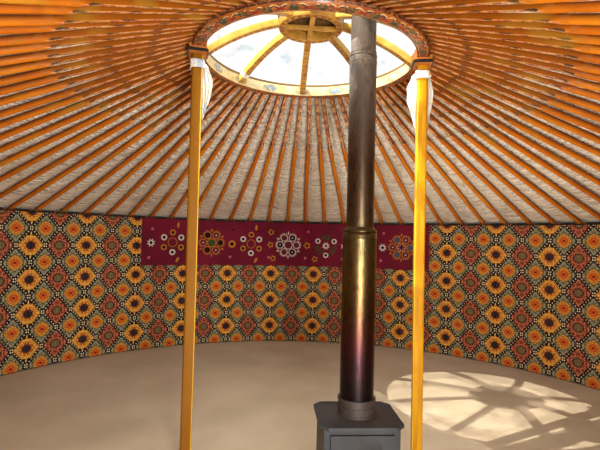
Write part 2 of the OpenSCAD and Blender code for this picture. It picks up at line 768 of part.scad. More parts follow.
floor_deck();
carpet();
wall_lining();
wall_hanging();
wall_lattice(1);  // wall_lattice_1
wall_lattice(2);  // wall_lattice_2
wall_lattice(3);  // wall_lattice_3
wall_lattice(4);  // wall_lattice_4
wall_lattice(5);  // wall_lattice_5
wall_cover(1);  // wall_cover_1
wall_cover(2);  // wall_cover_2
wall_cover(3);  // wall_cover_3
wall_cover(4);  // wall_cover_4
wall_cover(5);  // wall_cover_5
wall_cover(6);  // wall_cover_6
girth_bands();
door_frame();
door_leaf(-1);  // door_leaf_left
door_leaf(1);  // door_leaf_right
door_hinges();
roof_poles(1);  // roof_poles_1
roof_poles(2);  // roof_poles_2
roof_poles(3);  // roof_poles_3
roof_poles(4);  // roof_poles_4
roof_poles(5);  // roof_poles_5
roof_poles(6);  // roof_poles_6
roof_poles(7);  // roof_poles_7
roof_poles(8);  // roof_poles_8
roof_lining();
roof_cover(1);  // roof_cover_1
roof_cover(2);  // roof_cover_2
roof_cover(3);  // roof_cover_3
roof_cover(4);  // roof_cover_4
crown_ring();
crown_spokes();
crown_hub();
hub_cross();
crown_glazing();
crown_posts();
post_saddles();
stove_body();
stove_top();
stove_door();
flue_lower();
flue_upper();
flue_bands();
flue_cap();
pole_ties();
roof_straps();
door_pulls();
crown_hoop();
saddle_lashings();
post_scarves();
spoke_scarf();
flue_collar();
flue_flashing();
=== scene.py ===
import math
import bmesh
import bpy
import numpy as np
from mathutils import Matrix, Vector


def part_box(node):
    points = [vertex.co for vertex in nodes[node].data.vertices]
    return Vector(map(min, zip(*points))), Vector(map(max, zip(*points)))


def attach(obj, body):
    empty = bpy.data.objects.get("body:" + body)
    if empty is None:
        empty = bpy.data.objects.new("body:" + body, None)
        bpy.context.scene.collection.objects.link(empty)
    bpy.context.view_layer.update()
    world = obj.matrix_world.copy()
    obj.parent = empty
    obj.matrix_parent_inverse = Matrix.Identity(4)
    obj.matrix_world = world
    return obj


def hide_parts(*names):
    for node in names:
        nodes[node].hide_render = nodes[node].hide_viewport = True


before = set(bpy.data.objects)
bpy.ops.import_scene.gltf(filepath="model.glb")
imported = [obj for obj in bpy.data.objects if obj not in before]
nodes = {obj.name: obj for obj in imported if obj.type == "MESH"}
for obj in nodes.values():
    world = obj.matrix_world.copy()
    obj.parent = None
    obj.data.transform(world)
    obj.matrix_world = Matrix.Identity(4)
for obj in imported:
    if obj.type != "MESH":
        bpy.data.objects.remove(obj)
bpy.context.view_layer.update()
scene = bpy.context.scene
scene.view_settings.view_transform = "Standard"


# Camera
# It stands just inside the doorway, at head height of someone who stoops, and looks at the back wall.
# Its place and angles come from the crown ring, the posts and the pole feet in the photograph.
EYE = np.array((-0.2182, -2.7136, 1.367))
YAW, PITCH, ROLL = 0.0666, 0.0297, 0.0240
LENS = 27.04


def level_axes(yaw, pitch, roll):
    """The camera's right, up and forward arrows: turned by yaw about Z, tipped up by pitch, rolled last."""
    ahead = np.array((math.sin(yaw), math.cos(yaw), 0.0))
    across = np.array((math.cos(yaw), -math.sin(yaw), 0.0))
    up = np.array((0.0, 0.0, 1.0))
    forward = math.cos(pitch) * ahead + math.sin(pitch) * up
    top = -math.sin(pitch) * ahead + math.cos(pitch) * up
    right = math.cos(roll) * across + math.sin(roll) * top
    return right, math.cos(roll) * top - math.sin(roll) * across, forward


right_way, up_way, forward_way = level_axes(YAW, PITCH, ROLL)
camera = bpy.data.objects.new("camera", bpy.data.cameras.new("camera"))
camera.data.lens = LENS
camera.data.clip_start = 0.02
camera.matrix_world = Matrix([(*row, part) for row, part in zip(np.c_[right_way, up_way, -forward_way], EYE)]
                             + [(0, 0, 0, 1)])
scene.collection.objects.link(camera)
scene.camera = camera


# Light and floor
# A mild sun from the front left stands for the day outside. A narrow beam from the same side falls
# through the crown. The doorway behind the camera, the crown and the bright patch on the floor light
# the room. The floor outside and the sky are plain and pale.
SUN, SKY, SKY_SEEN = 2.6, 0.5, 1.15
SUN_FROM = Vector((-1.6, -0.9, 2.4)).normalized()
CROWN_CENTRE = Vector((0, 0, 2.45))
BEAM_R, BEAM_FAR = 0.66, 9


def lamp(name, kind, energy, place, aim, size=1.0, colour=(1, 1, 1), seen=False):
    """A lamp at a place that points along aim; the camera doesn't see it, shiny surfaces may."""
    data = bpy.data.lights.new(name, kind)
    data.energy = energy
    data.color = colour
    if kind == "AREA":
        data.shape = "ELLIPSE" if seen else "DISK"
        data.size = size
        data.size_y = 1.9 * size
    elif kind == "SUN":
        data.angle = size
    else:
        data.shadow_soft_size = 0.03
        data.spot_size = size
        data.spot_blend = 0.02
    light = bpy.data.objects.new(name, data)
    light.location = place
    light.rotation_mode = "QUATERNION"
    light.rotation_quaternion = Vector(aim).to_track_quat("-Z", "Y")
    light.visible_camera = False
    light.visible_glossy = seen
    scene.collection.objects.link(light)


lamp("sun", "SUN", SUN, (0, 0, 8), -SUN_FROM, size=0.02, colour=(1.0, 0.95, 0.86))
lamp("sunbeam", "SPOT", 9000, CROWN_CENTRE + BEAM_FAR * SUN_FROM, -SUN_FROM,
     size=2 * math.atan(BEAM_R / BEAM_FAR), colour=(1.0, 0.94, 0.82))
lamp("doorway_light", "AREA", 78, (0.26, -2.86, 0.88), (-0.38, 1, 0.27), size=0.6, colour=(1.0, 0.97, 0.93),
     seen=True)
lamp("crown_light", "AREA", 30, (0, 0, 2.38), (0, 0, -1), size=1.1, colour=(0.95, 0.98, 1.0))
lamp("sun_patch_light", "AREA", 32, (1.15, 0.7, 0.16), (-0.45, -0.2, 1), size=1.5, colour=(1.0, 0.92, 0.78))
lamp("threshold_light", "AREA", 9, (0, -2.0, 0.2), (0, 0.3, 1), size=1.2, colour=(1.0, 0.95, 0.88))


class Field:
    """A value, vector or colour that changes over a surface. Sums, products and steps of fields add
    nodes to the material that they belong to."""

    def __init__(self, socket):
        self.socket = socket
        self.tree = socket.id_data

    def op(self, operation, *others):
        return add(self.tree, "ShaderNodeMath", dict(enumerate((self, *others))), operation=operation)

    def __add__(self, other): return self.op("ADD", other)
    def __radd__(self, other): return self.op("ADD", other)
    def __sub__(self, other): return self.op("SUBTRACT", other)
    def __rsub__(self, other): return (self * -1.0).op("ADD", other)
    def __mul__(self, other): return self.op("MULTIPLY", other)
    def __rmul__(self, other): return self.op("MULTIPLY", other)
    def __truediv__(self, other): return self.op("DIVIDE", other)
    def floor(self): return self.op("FLOOR")
    def part(self): return self.op("FRACT")
    def size(self): return self.op("ABSOLUTE")
    def sin(self): return self.op("SINE")
    def cos(self): return self.op("COSINE")
    def power(self, other): return self.op("POWER", other)
    def lower(self, other): return self.op("MINIMUM", other)
    def upper(self, other): return self.op("MAXIMUM", other)
    def below(self, other): return self.op("LESS_THAN", other)
    def above(self, other): return self.op("GREATER_THAN", other)

    def near(self, middle, reach):
        """1 within reach of the middle, else 0."""
        return (self - middle).size().below(reach)

    def cell(self):
        """Place within a repeat, from -0.5 to 0.5."""
        return self.part() - 0.5

    def ramp(self, low, high):
        """0 at low, 1 at high, straight between and held outside."""
        return add(self.tree, "ShaderNodeMapRange", {"Value": self, "From Min": low, "From Max": high})


def join(value, socket):
    """Feeds a field, a colour or a number into an input."""
    if isinstance(value, Field):
        value.tree.links.new(value.socket, socket)
    else:
        socket.default_value = (*value, 1) if socket.type == "RGBA" else value


def new_node(tree, kind, values, **settings):
    """One new node with its settings and inputs."""
    node = tree.nodes.new(kind)
    for key, value in settings.items():
        setattr(node, key, value)
    for key, value in values.items():
        join(value, node.inputs[key])
    return node


def add(tree, kind, values, output=0, **settings):
    """One output of a new node, as a field."""
    return Field(new_node(tree, kind, values, **settings).outputs[output])


def finish_of(name, rough=0.6, metal=0.0, coat=0.0, sheen=0.0, specular=0.5):
    """A new material and its shader."""
    made = bpy.data.materials.new(name)
    made.use_nodes = True
    shader = made.node_tree.nodes["Principled BSDF"]
    for label, value in (("Roughness", rough), ("Metallic", metal), ("Coat Weight", coat),
                         ("Sheen Weight", sheen), ("Specular IOR Level", specular)):
        shader.inputs[label].default_value = value
    return made, shader


world = bpy.data.worlds.new("pale_sky")
world.use_nodes = True
scene.world = world
sky = world.node_tree
sky_light = sky.nodes["Background"]
join((0.93, 0.96, 1.0), sky_light.inputs["Color"])
join(SKY, sky_light.inputs["Strength"])
sky_seen = add(sky, "ShaderNodeBackground", {"Color": (1, 1, 1), "Strength": SKY_SEEN})
ray = [add(sky, "ShaderNodeLightPath", {}, output) for output in ("Is Camera Ray", "Is Glossy Ray")]
seen_ray = ray[0].upper(ray[1])
sky_both = add(sky, "ShaderNodeMixShader", {0: seen_ray, 1: Field(sky_light.outputs[0]), 2: sky_seen})
join(sky_both, sky.nodes["World Output"].inputs["Surface"])

ground = bpy.data.objects.new("pale_floor", bpy.data.meshes.new("pale_floor"))
ground.data.from_pydata([(-40, -40, 0), (40, -40, 0), (40, 40, 0), (-40, 40, 0)], [], [(0, 1, 2, 3)])
scene.collection.objects.link(ground)
ground_finish, shader = finish_of("pale_floor", rough=0.9)
join((0.80, 0.80, 0.79), shader.inputs["Base Color"])
ground.data.materials.append(ground_finish)


# Timber deck
# A round platform of soft-wood boards on joists, sawn to a circle, on which the whole tent stands.
# The boards run across the tent, are nailed down and have weathered grey at the rim.
def mix(amount, first, second):
    """Colour between first at 0 and second at 1."""
    return add(amount.tree, "ShaderNodeMix", {0: amount, 6: first, 7: second}, 2, data_type="RGBA")


def coats(colour, *laid_over):
    """A colour with others laid over it in turn, each given with its amount."""
    for amount, upper in laid_over:
        colour = mix(amount, colour, upper)
    return colour


def vector(x, y, z=0.0):
    return add(x.tree, "ShaderNodeCombineXYZ", {0: x, 1: y, 2: z})


def axes(place):
    """The three parts of a vector."""
    return [Field(part) for part in new_node(place.tree, "ShaderNodeSeparateXYZ", {0: place}).outputs]


def round_axes(place):
    """Reach of a place from the tent's middle line, its turn about that line, and its height."""
    x, y, z = axes(place)
    return (x * x + y * y).power(0.5), y.op("ARCTAN2", x), z


def noise(place, scale, detail=3.0, rough=0.5):
    return add(place.tree, "ShaderNodeTexNoise", {"Vector": place, "Scale": scale, "Detail": detail,
                                                  "Roughness": rough}, "Fac")


def object_place(shader):
    return add(shader.id_data, "ShaderNodeTexCoord", {}, "Object")


def cloth_place(shader):
    """The piece's own map, in metres across and along."""
    return add(shader.id_data, "ShaderNodeUVMap", {}, "UV")


def finish_with(shader, colour, height=None, depth=0.0, **others):
    """Gives a shader its colour, a relief of height times depth in metres, and other inputs by name."""
    join(colour, shader.inputs["Base Color"])
    if height:
        join(add(height.tree, "ShaderNodeBump", {"Height": height, "Distance": depth}), shader.inputs["Normal"])
    for label, value in others.items():
        join(value, shader.inputs[label])


def group(name, inputs, outputs):
    """An empty node group: itself, its inputs as fields and its outputs by name. An input without a
    number is a vector."""
    made = bpy.data.node_groups.new(name, "ShaderNodeTree")
    for label, value in inputs.items():
        kind = "NodeSocketVector" if value is None else "NodeSocketFloat"
        socket = made.interface.new_socket(label, in_out="INPUT", socket_type=kind)
        if value is not None:
            socket.default_value = value
    for label in outputs:
        kind = "NodeSocketColor" if label == "Color" else "NodeSocketFloat"
        made.interface.new_socket(label, in_out="OUTPUT", socket_type=kind)
    start, end = made.nodes.new("NodeGroupInput"), made.nodes.new("NodeGroupOutput")
    return made, [Field(start.outputs[label]) for label in inputs], end.inputs


def use(made, **values):
    """Places a group in the material that its inputs belong to and returns its outputs by name."""
    node = new_node(next(iter(values.values())).tree, "ShaderNodeGroup", values, node_tree=made)
    return {output.name: Field(output) for output in node.outputs}


def make_grain():
    """Wood grain along the first axis: long thin streaks, fine pores and soft broad tone."""
    made, (place, streaks), end = group("wood_grain", {"Place": None, "Streaks": 60.0}, ["Tone", "Height"])
    x, y, z = axes(place)
    drift = noise(vector(x * 1.3, y * 9.0, z * 9.0), 1.0, 2.0)
    streak = noise(vector(x * 0.9, y * streaks + drift * 6.0, z * streaks), 1.0, 4.0, 0.62)
    pore = noise(vector(x * 22.0, y * 420.0, z * 420.0), 1.0, 2.0)
    join(streak * 0.65 + drift * 0.35, end["Tone"])
    join(streak * 0.7 + pore * 0.3, end["Height"])
    return made


def dress(node, finish):
    """Gives a CAD node its finish in place of the plain one."""
    piece = nodes[node]
    piece.data.materials.clear()
    piece.data.materials.append(finish)
    return piece


BOARD, DECK_R, RIM_BOARDS = 0.118, 3.17, 18
grain = make_grain()
deck_finish, shader = finish_of("deck_boards", rough=0.75)
place = object_place(shader)
x, y, _ = axes(place)
reach, spin, z = round_axes(place)
row = (y / BOARD).floor()
gap = (y / BOARD).cell().size().ramp(0.47, 0.5)
wood = use(grain, Place=vector(x + row * 7.3, y, z), Streaks=70.0)
rim_wood = use(grain, Place=vector(spin * DECK_R, z), Streaks=60.0)
plank = coats(mix(wood["Tone"].ramp(0.3, 0.7), (0.20, 0.14, 0.085), (0.42, 0.31, 0.20)),
              (noise(vector(row * 3.7, 0.0), 1.0).ramp(0.3, 0.7), (0.33, 0.28, 0.22)),
              (gap * 0.85, (0.03, 0.022, 0.015)))
rim = coats(mix(rim_wood["Tone"].ramp(0.3, 0.7), (0.11, 0.085, 0.06), (0.24, 0.19, 0.14)),
            ((spin * (RIM_BOARDS / math.tau)).cell().size().ramp(0.497, 0.5), (0.02, 0.016, 0.012)))
finish_with(shader, mix(reach.above(3.166), plank, rim), wood["Height"] - gap * 3.0, 0.0012)
dress("floor_deck", deck_finish)


# Carpet
# A woven sand-coloured carpet, cut to the circle of the room and laid on the deck, with
# shallow ripples where it was walked on and a short looped pile.
ROOM_R, HALF_DOOR, WELD = 3.02, 0.434, 2e-6
FLOOR_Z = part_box("carpet")[1].z


def surface(name, points, uv=None, tone=None):
    """A mesh from a grid of points, or from several grids: faces join each point to the next
    in the row and in the column. Doubled points at seams and poles are merged."""
    grids = points.reshape(-1, *points.shape[-3:])
    count, rows, cols, _ = grids.shape
    corner = (np.arange(rows - 1)[:, None] * cols + np.arange(cols - 1)[None, :]).reshape(-1)
    faces = np.stack([corner, corner + 1, corner + cols + 1, corner + cols], 1)
    faces = (faces[None] + (np.arange(count) * rows * cols)[:, None, None]).reshape(-1, 4)
    mesh = bpy.data.meshes.new(name)
    mesh.vertices.add(count * rows * cols)
    mesh.vertices.foreach_set("co", grids.reshape(-1).astype(np.float32))
    mesh.loops.add(faces.size)
    mesh.loops.foreach_set("vertex_index", faces.reshape(-1).astype(np.int32))
    mesh.polygons.add(len(faces))
    mesh.polygons.foreach_set("loop_start", np.arange(0, faces.size, 4, dtype=np.int32))
    mesh.update(calc_edges=True)
    if uv is not None:
        layer = mesh.uv_layers.new(name="UVMap")
        layer.data.foreach_set("uv", uv.reshape(-1, 2)[faces.reshape(-1)].reshape(-1).astype(np.float32))
    if tone is not None:
        layer = mesh.attributes.new("tone", "FLOAT", "POINT")
        layer.data.foreach_set("value", tone.reshape(-1).astype(np.float32))
    work = bmesh.new()
    work.from_mesh(mesh)
    bmesh.ops.remove_doubles(work, verts=work.verts, dist=WELD)
    bmesh.ops.dissolve_degenerate(work, dist=WELD / 20, edges=work.edges)
    work.to_mesh(mesh)
    work.free()
    mesh.polygons.foreach_set("use_smooth", np.ones(len(mesh.polygons), bool))
    mesh.update()
    piece = bpy.data.objects.new(name, mesh)
    scene.collection.objects.link(piece)
    return piece


def fit(piece, finish, slot, *stands_for):
    """Finishes a new piece: its material, the body and the CAD nodes that it stands for. The slot is not used.
    """
    piece.data.materials.append(finish)
    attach(piece, "root")
    if stands_for:
        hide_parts(*stands_for)
    return piece


def ripple(*places, seed, waves, length):
    """Soft irregular waves: a sum of sines along seeded directions, between -1 and 1."""
    draw = np.random.default_rng(seed)
    total = 0.0
    for _ in range(waves):
        turn = draw.normal(size=len(places))
        turn = turn / np.linalg.norm(turn) * math.tau / (length * draw.uniform(0.6, 1.7))
        total = total + np.sin(sum(t * p for t, p in zip(turn, places)) + draw.uniform(0, math.tau))
    return total / waves


def spread(*parts):
    """A grid of points from their parts, which may be single numbers, rows or columns."""
    return np.stack(np.broadcast_arrays(*parts), -1)


def round_points(reach, turn, height):
    """A grid of points from their reach, turn and height about the tent's middle line."""
    return spread(reach * np.cos(turn), reach * np.sin(turn), height)


radius = np.linspace(0, 1, 90)[:, None] ** 0.8 * (ROOM_R - 0.004)
flat = round_points(radius, np.linspace(0, math.tau, 361)[None, :], 0.0)
sill = np.abs(flat[..., 0]) < HALF_DOOR
flat[sill, 1] = np.maximum(flat[sill, 1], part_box("door_frame")[1].y + 0.004)
wide, deep = flat[..., 0], flat[..., 1]
lift = (0.0022 * ripple(wide, deep, seed=3, waves=9, length=0.45)
        + 0.001 * ripple(wide, deep, seed=4, waves=7, length=0.12))
lift = np.where(radius > ROOM_R - 0.06, 0.0, lift) - 0.0032
carpet = surface("carpet_cloth", spread(wide, deep, FLOOR_Z + lift), flat[..., :2])
carpet_finish, shader = finish_of("carpet_pile", rough=0.95, sheen=0.25, specular=0.2)
place = object_place(shader)
x, y, _ = axes(place)
loops = (x * 520.0).sin() * (y * 520.0).sin()
rows = (y * 260.0).sin() * 0.5 + 0.5
fibre, patch, walked = noise(place, 240.0), noise(place, 2.2, 4.0), noise(place, 0.7, 2.0)
colour = coats(mix(patch.ramp(0.35, 0.65), (0.40, 0.31, 0.19), (0.52, 0.42, 0.28)),
               (fibre.ramp(0.35, 0.7) * 0.45, (0.63, 0.54, 0.39)),
               (walked.ramp(0.5, 0.75) * 0.35, (0.30, 0.24, 0.16)))
finish_with(shader, colour, loops * 0.5 + fibre + rows * 0.3, 0.0016)
fit(carpet, carpet_finish, "carpet", "carpet")


# Lattice wall
# Split willow laths in two crossing layers, tied at each crossing with hide, stained red-brown.
# Only their tips show above the lining, between the pole feet.
lath_finish, shader = finish_of("lattice_laths", rough=0.7)
x, y, z = axes(object_place(shader))
wood = use(grain, Place=vector(z, x, y), Streaks=90.0)
colour = mix(wood["Tone"].ramp(0.3, 0.7), (0.10, 0.04, 0.018), (0.27, 0.12, 0.05))
finish_with(shader, colour, wood["Height"], 0.001)
for part in range(1, 6):
    dress(f"wall_lattice_{part}", lath_finish)


# Wall lining
# Cotton cloth woven with rows of diamonds: black ground with cream checks, and green, gold and
# brown medallions. It is tied to the lattice along its top edge and hangs to the carpet.
POLES = 80
LINING_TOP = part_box("wall_lining")[1].z
DIAMOND_W, DIAMOND_H, THREAD = math.tau * ROOM_R / 70, 0.325, 0.0042


def wall_sheet(name, inner_r, first, last, low, high, cols, rows, depth, seed):
    """A cloth that hangs round the wall: radius is inner_r plus soft upright folds, and the top
    edge dips a little between its ties."""
    turn = np.linspace(first, last, cols)[None, :]
    climb = np.linspace(0, 1, rows)[:, None]
    pitch = math.tau / POLES
    scallop = 0.005 * np.abs(np.sin(turn / pitch * math.pi)) * climb ** 8
    height = low + (high - low) * climb - scallop
    along = turn * ROOM_R
    fold = ripple(along, height * 0.15, seed=seed, waves=8, length=0.32)
    pucker = np.cos(turn / pitch * math.tau) * climb ** 3 * 0.4
    out = inner_r + depth * (0.5 + 0.5 * np.clip(fold * 1.6 + pucker, -1, 1))
    return surface(name, round_points(out, turn, height), spread(along, height))


half_door = math.asin(HALF_DOOR / ROOM_R)
door_turn = -math.pi / 2
lining = wall_sheet("lining_cloth", ROOM_R - 0.001, door_turn + half_door, door_turn + math.tau - half_door,
                    FLOOR_Z + 0.002, LINING_TOP, 1441, 44, 0.005, 11)


def paint(red, green, blue):
    """A colour as a paint chart gives it, 0 to 255, turned into light values."""
    return tuple(c / 255 / 12.92 if c < 10.4 else ((c / 255 + 0.055) / 1.055) ** 2.4
                 for c in (red, green, blue))


BLACK, CREAM = paint(17, 13, 12), paint(246, 230, 196)


def make_diamonds():
    """Rows of diamonds from a place across and down the cloth. Two slanted counts number the
    diamonds; within one, the place from its middle and the turn about it draw the medallion.
    Speckles are the same in all four quarters of a diamond, as a loom repeats them."""
    made, (across, down), end = group("diamond_cloth", {"Across": 0.0, "Down": 0.0}, ["Color", "Height"])
    u, v = (across / THREAD).floor() * THREAD, (down / THREAD).floor() * THREAD
    p, q = u / DIAMOND_W + v / DIAMOND_H, u / DIAMOND_W - v / DIAMOND_H
    i, j, a, b = p.floor(), q.floor(), p.cell(), q.cell()
    row = ((i - j) * 0.5).part().above(0.25)
    column = ((i + j) * 0.25 + 0.13).part().above(0.5)
    x, y = (a + b).size(), (a - b).size()
    side = a.size().upper(b.size())
    slant = x + y * 1.04
    reach = (x * x * (DIAMOND_W / 2) ** 2 + y * y * (1.12 * (DIAMOND_H / 2) ** 2)).power(0.5)
    petal = ((a - b).op("ARCTAN2", a + b) * 8.0).cos()
    jag = ((a.size() * 30.0).cos() + (b.size() * 30.0).cos()) * 0.5
    broad = noise(vector(x * 8.0, y * 9.0), 1.0, 0.0)
    fine = noise(vector(x * 15.0 + 4.0, y * 17.0), 1.0, 0.0)
    inside = (side + jag * 0.016).below(0.424)

    # Cream dots on the black band between the diamonds, larger round the crossings
    dot_p = (across / DIAMOND_W + down / DIAMOND_H) * 14.0 + 0.5
    dot_q = (across / DIAMOND_W - down / DIAMOND_H) * 14.0 + 0.5
    other = ((dot_p.floor() + dot_q.floor()) * 0.5).part().above(0.25)
    away = (0.5 - a.size()).upper(0.5 - b.size())
    dot = (dot_p.cell().size().upper(dot_q.cell().size()) + away * 0.24).below(0.43)
    band = mix(other * dot * side.above(0.462), BLACK, mix(away * 1.4, CREAM, paint(206, 172, 132)))

    burst = reach * 0.62 + slant * 0.046 - petal * 0.0016
    green = coats(paint(116, 118, 90), (fine.below(0.44), paint(58, 60, 42)),
                  ((broad + (x + y) * 0.06).above(0.56), paint(156, 158, 130)))
    green = coats(mix(inside, BLACK, green), (burst.below(0.074), paint(74, 66, 36)),
                  (burst.below(0.068), mix(fine.above(0.50), paint(230, 172, 70), paint(196, 118, 42))),
                  (burst.near(0.051, 0.0026), paint(160, 84, 34)),
                  (burst.below(0.040), mix(broad.above(0.5), paint(186, 58, 24), paint(216, 112, 44))),
                  (reach.below(0.011), paint(104, 24, 16)))

    body = (slant + jag * 0.02).below(0.98) * y.below(0.58)
    spike = (x + (y - 0.5) * 0.30).below(0.10) * y.below(0.90)
    gold = coats(paint(240, 190, 84), (fine.above(0.53), paint(190, 112, 40)),
                 (slant.near(0.80, 0.018) * y.below(0.50), paint(168, 96, 36)),
                 (reach.below(0.066) * y.below(0.52),
                  mix(fine.above(0.5), paint(206, 112, 40), paint(150, 60, 26))),
                 (reach.near(0.056, 0.0040) * petal.above(-0.1), paint(240, 190, 80)),
                 ((reach - petal * 0.003).below(0.042),
                  mix(fine.above(0.57), paint(20, 20, 28), paint(84, 60, 66))),
                 (y.above(0.66) * x.below(0.05), paint(250, 226, 170)))
    gold = mix(body.upper(spike), BLACK, gold)

    tips = ((x - 0.72).size() + y).lower((y - 0.72).size() + x).below(0.05)
    star = reach - petal * 0.004
    brown = coats(paint(144, 66, 46), (fine.below(0.46), paint(72, 30, 22)),
                  ((broad + side * 0.16).above(0.585), paint(196, 118, 88)),
                  (reach.near(0.062, 0.005) * petal.above(-0.1), paint(204, 112, 68)),
                  (star.below(0.048), paint(40, 24, 20)),
                  (star.below(0.038), mix(fine.above(0.52), paint(132, 116, 78), paint(92, 78, 50))),
                  (tips, paint(226, 160, 120)))
    figure = mix(row, mix(column, gold, mix(inside, BLACK, brown)), green)
    join(mix(side.below(0.434), band, figure), end["Color"])
    join((across * (math.pi / THREAD)).sin() * (down * (math.pi / THREAD)).sin(), end["Height"])
    return made


diamonds = make_diamonds()
lining_finish, shader = finish_of("diamond_lining", rough=0.9, sheen=0.1, specular=0.15)
across, up, _ = axes(cloth_place(shader))
place = object_place(shader)
cloth = use(diamonds, Across=across + 0.08, Down=LINING_TOP - up)
fade, fuzz = noise(place, 1.4), noise(place, 260.0, 2.0)
colour = coats(cloth["Color"], (fade.ramp(0.4, 0.8) * 0.10, paint(128, 104, 76)),
               (fuzz.ramp(0.5, 0.8) * 0.05, paint(150, 128, 100)),
               (up.above(LINING_TOP - 0.012), (0.025, 0.016, 0.014)))
finish_with(shader, colour, cloth["Height"] * 0.6 + fuzz, 0.0009)
fit(lining, lining_finish, "pattern_cloth", "wall_lining")


# Wall hanging
# A long wine-red cloth pinned over the lining on the back wall, sewn all over with rings, dots and
# petals of thick yarn. The rows of rosettes differ a little, as on cloth that is sewn by hand.
HANGING_L, HANGING_H = 3.54, 0.545
hanging_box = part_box("wall_hanging")
hanging_top = hanging_box[1].z
hanging_turn = math.pi / 2
half_hanging = HANGING_L / ROOM_R / 2
hanging = wall_sheet("red_hanging", ROOM_R - 0.0042, hanging_turn - half_hanging, hanging_turn + half_hanging,
                     hanging_top - HANGING_H, hanging_top, 361, 40, 0.003, 21)
hanging_finish, shader = finish_of("wine_red_cloth", rough=0.85, sheen=0.3, specular=0.25)
up = axes(cloth_place(shader))[1]
place = object_place(shader)
fade, fuzz = noise(place, 3.0), noise(place, 300.0, 2.0)
colour = coats(mix(fade.ramp(0.35, 0.65), paint(92, 8, 36), paint(118, 13, 46)),
               (fuzz.ramp(0.4, 0.8) * 0.3, paint(140, 34, 58)))
finish_with(shader, colour, (up * 1900.0).sin() * 0.4 + fuzz, 0.0008)
fit(hanging, hanging_finish, "red_cloth", "wall_hanging")


def on_hanging(along, up, out):
    """A point on the hanging: along it from its left end as seen from the door, up from its lower
    edge and out into the room."""
    turn = hanging_turn + half_hanging - along / ROOM_R
    return round_points(ROOM_R - 0.0055 - out, turn, hanging_top - HANGING_H + up)


def stitched_ring(along, up, outer, inner, squash=1.0, tilt=0.0):
    """A raised ring of yarn: a low half-round band between two radii, squashed across tilt."""
    turn = np.linspace(0, math.tau, 21)[:, None]
    across = np.linspace(0, 1, 7)[None, :]
    reach = inner + (outer - inner) * across
    height = 0.0032 * np.sqrt(np.clip(1 - (2 * across - 1) ** 2, 0, 1)) - 0.0012
    a, b = reach * np.cos(turn), reach * np.sin(turn) * squash
    a, b = a * math.cos(tilt) - b * math.sin(tilt), a * math.sin(tilt) + b * math.cos(tilt)
    return on_hanging(along + a, up + b, height + 0 * turn)


YARNS = {"white_yarn": paint(226, 214, 204), "ochre_yarn": paint(200, 126, 38),
         "pink_yarn": paint(214, 110, 118), "dark_yarn": paint(30, 14, 24), "green_yarn": paint(62, 84, 46),
         "plum_yarn": paint(104, 34, 52), "slate_yarn": paint(78, 84, 106)}
stitches = {yarn: [] for yarn in YARNS}


def sew(yarn, along, up, outer, inner=0.0005, squash=1.0, tilt=0.0):
    """Adds one ring or petal to a yarn's stitches."""
    stitches[yarn].append(stitched_ring(along, up, outer, inner, squash, tilt))


def petal(yarn, along, up, reach, turn, size, squash):
    """A narrow ring at a reach and a turn from a place, which points away from it."""
    sew(yarn, along + reach * math.cos(turn), up + reach * math.sin(turn), size, squash=squash, tilt=turn)


def eyelet(yarn, along, up, size, heart="dark_yarn", spikes=0):
    """A ring of yarn round a heart, with short petals pointing outwards where there are spikes."""
    sew(yarn, along, up, size, size * 0.52)
    sew(heart, along, up, size * 0.52)
    for k in range(spikes):
        petal(yarn, along, up, size + 0.004, math.tau * (k + 0.5) / spikes, 0.011, 0.5)


def round_of(count, along, up, reach, first):
    """Places in a circle, with their turn about its middle."""
    for k in range(count):
        turn = math.tau * (k + first) / count
        yield k, along + reach * math.cos(turn), up + reach * math.sin(turn), turn


def open_rosette(along, up):
    """Six loose eyelets, white and ochre by turns, round a thin ring."""
    for k, a, b, _ in round_of(6, along, up, 0.116, 0.5):
        eyelet(("white_yarn", "ochre_yarn")[k % 2], a, b, 0.036)
    sew("ochre_yarn", along, up, 0.056, 0.048)
    for side in (-1, 1):
        sew("ochre_yarn", along + 0.062, up + side * 0.205, 0.034, 0.0005, 0.45, 1.3 + side * 0.2)


def full_rosette(along, up, yarn, hearts, middle):
    """Six thin rings in a circle that nearly touch, petals on their outer side, and a filled middle."""
    for k, a, b, turn in round_of(6, along, up, 0.104, 0.0):
        sew(yarn, a, b, 0.047, 0.037)
        sew(hearts[k % len(hearts)], a, b, 0.035)
        if k % 2:
            sew("white_yarn", a, b, 0.012)
        for lean in (-1.0, -0.5, 0.0, 0.5, 1.0):
            petal(yarn, a, b, 0.051, turn + lean, 0.013, 0.42)
        petal(yarn, along, up, 0.150, turn + math.pi / 6, 0.022, 0.4)
    sew(yarn, along, up, 0.056, 0.046)
    sew(middle, along, up, 0.045)


def leafy_rosette(along, up):
    """Three white eyelets and dark green leaves by turns, round a white star."""
    for _, a, b, _ in round_of(3, along, up, 0.118, 0.25):
        eyelet("white_yarn", a, b, 0.034, "dark_yarn")
    for _, _, _, turn in round_of(3, along, up, 0.112, 0.75):
        for lean in (-0.35, 0.0, 0.35):
            petal("green_yarn", along, up, 0.112, turn + lean, 0.038, 0.30)
    eyelet("white_yarn", along, up, 0.034, "plum_yarn", 8)


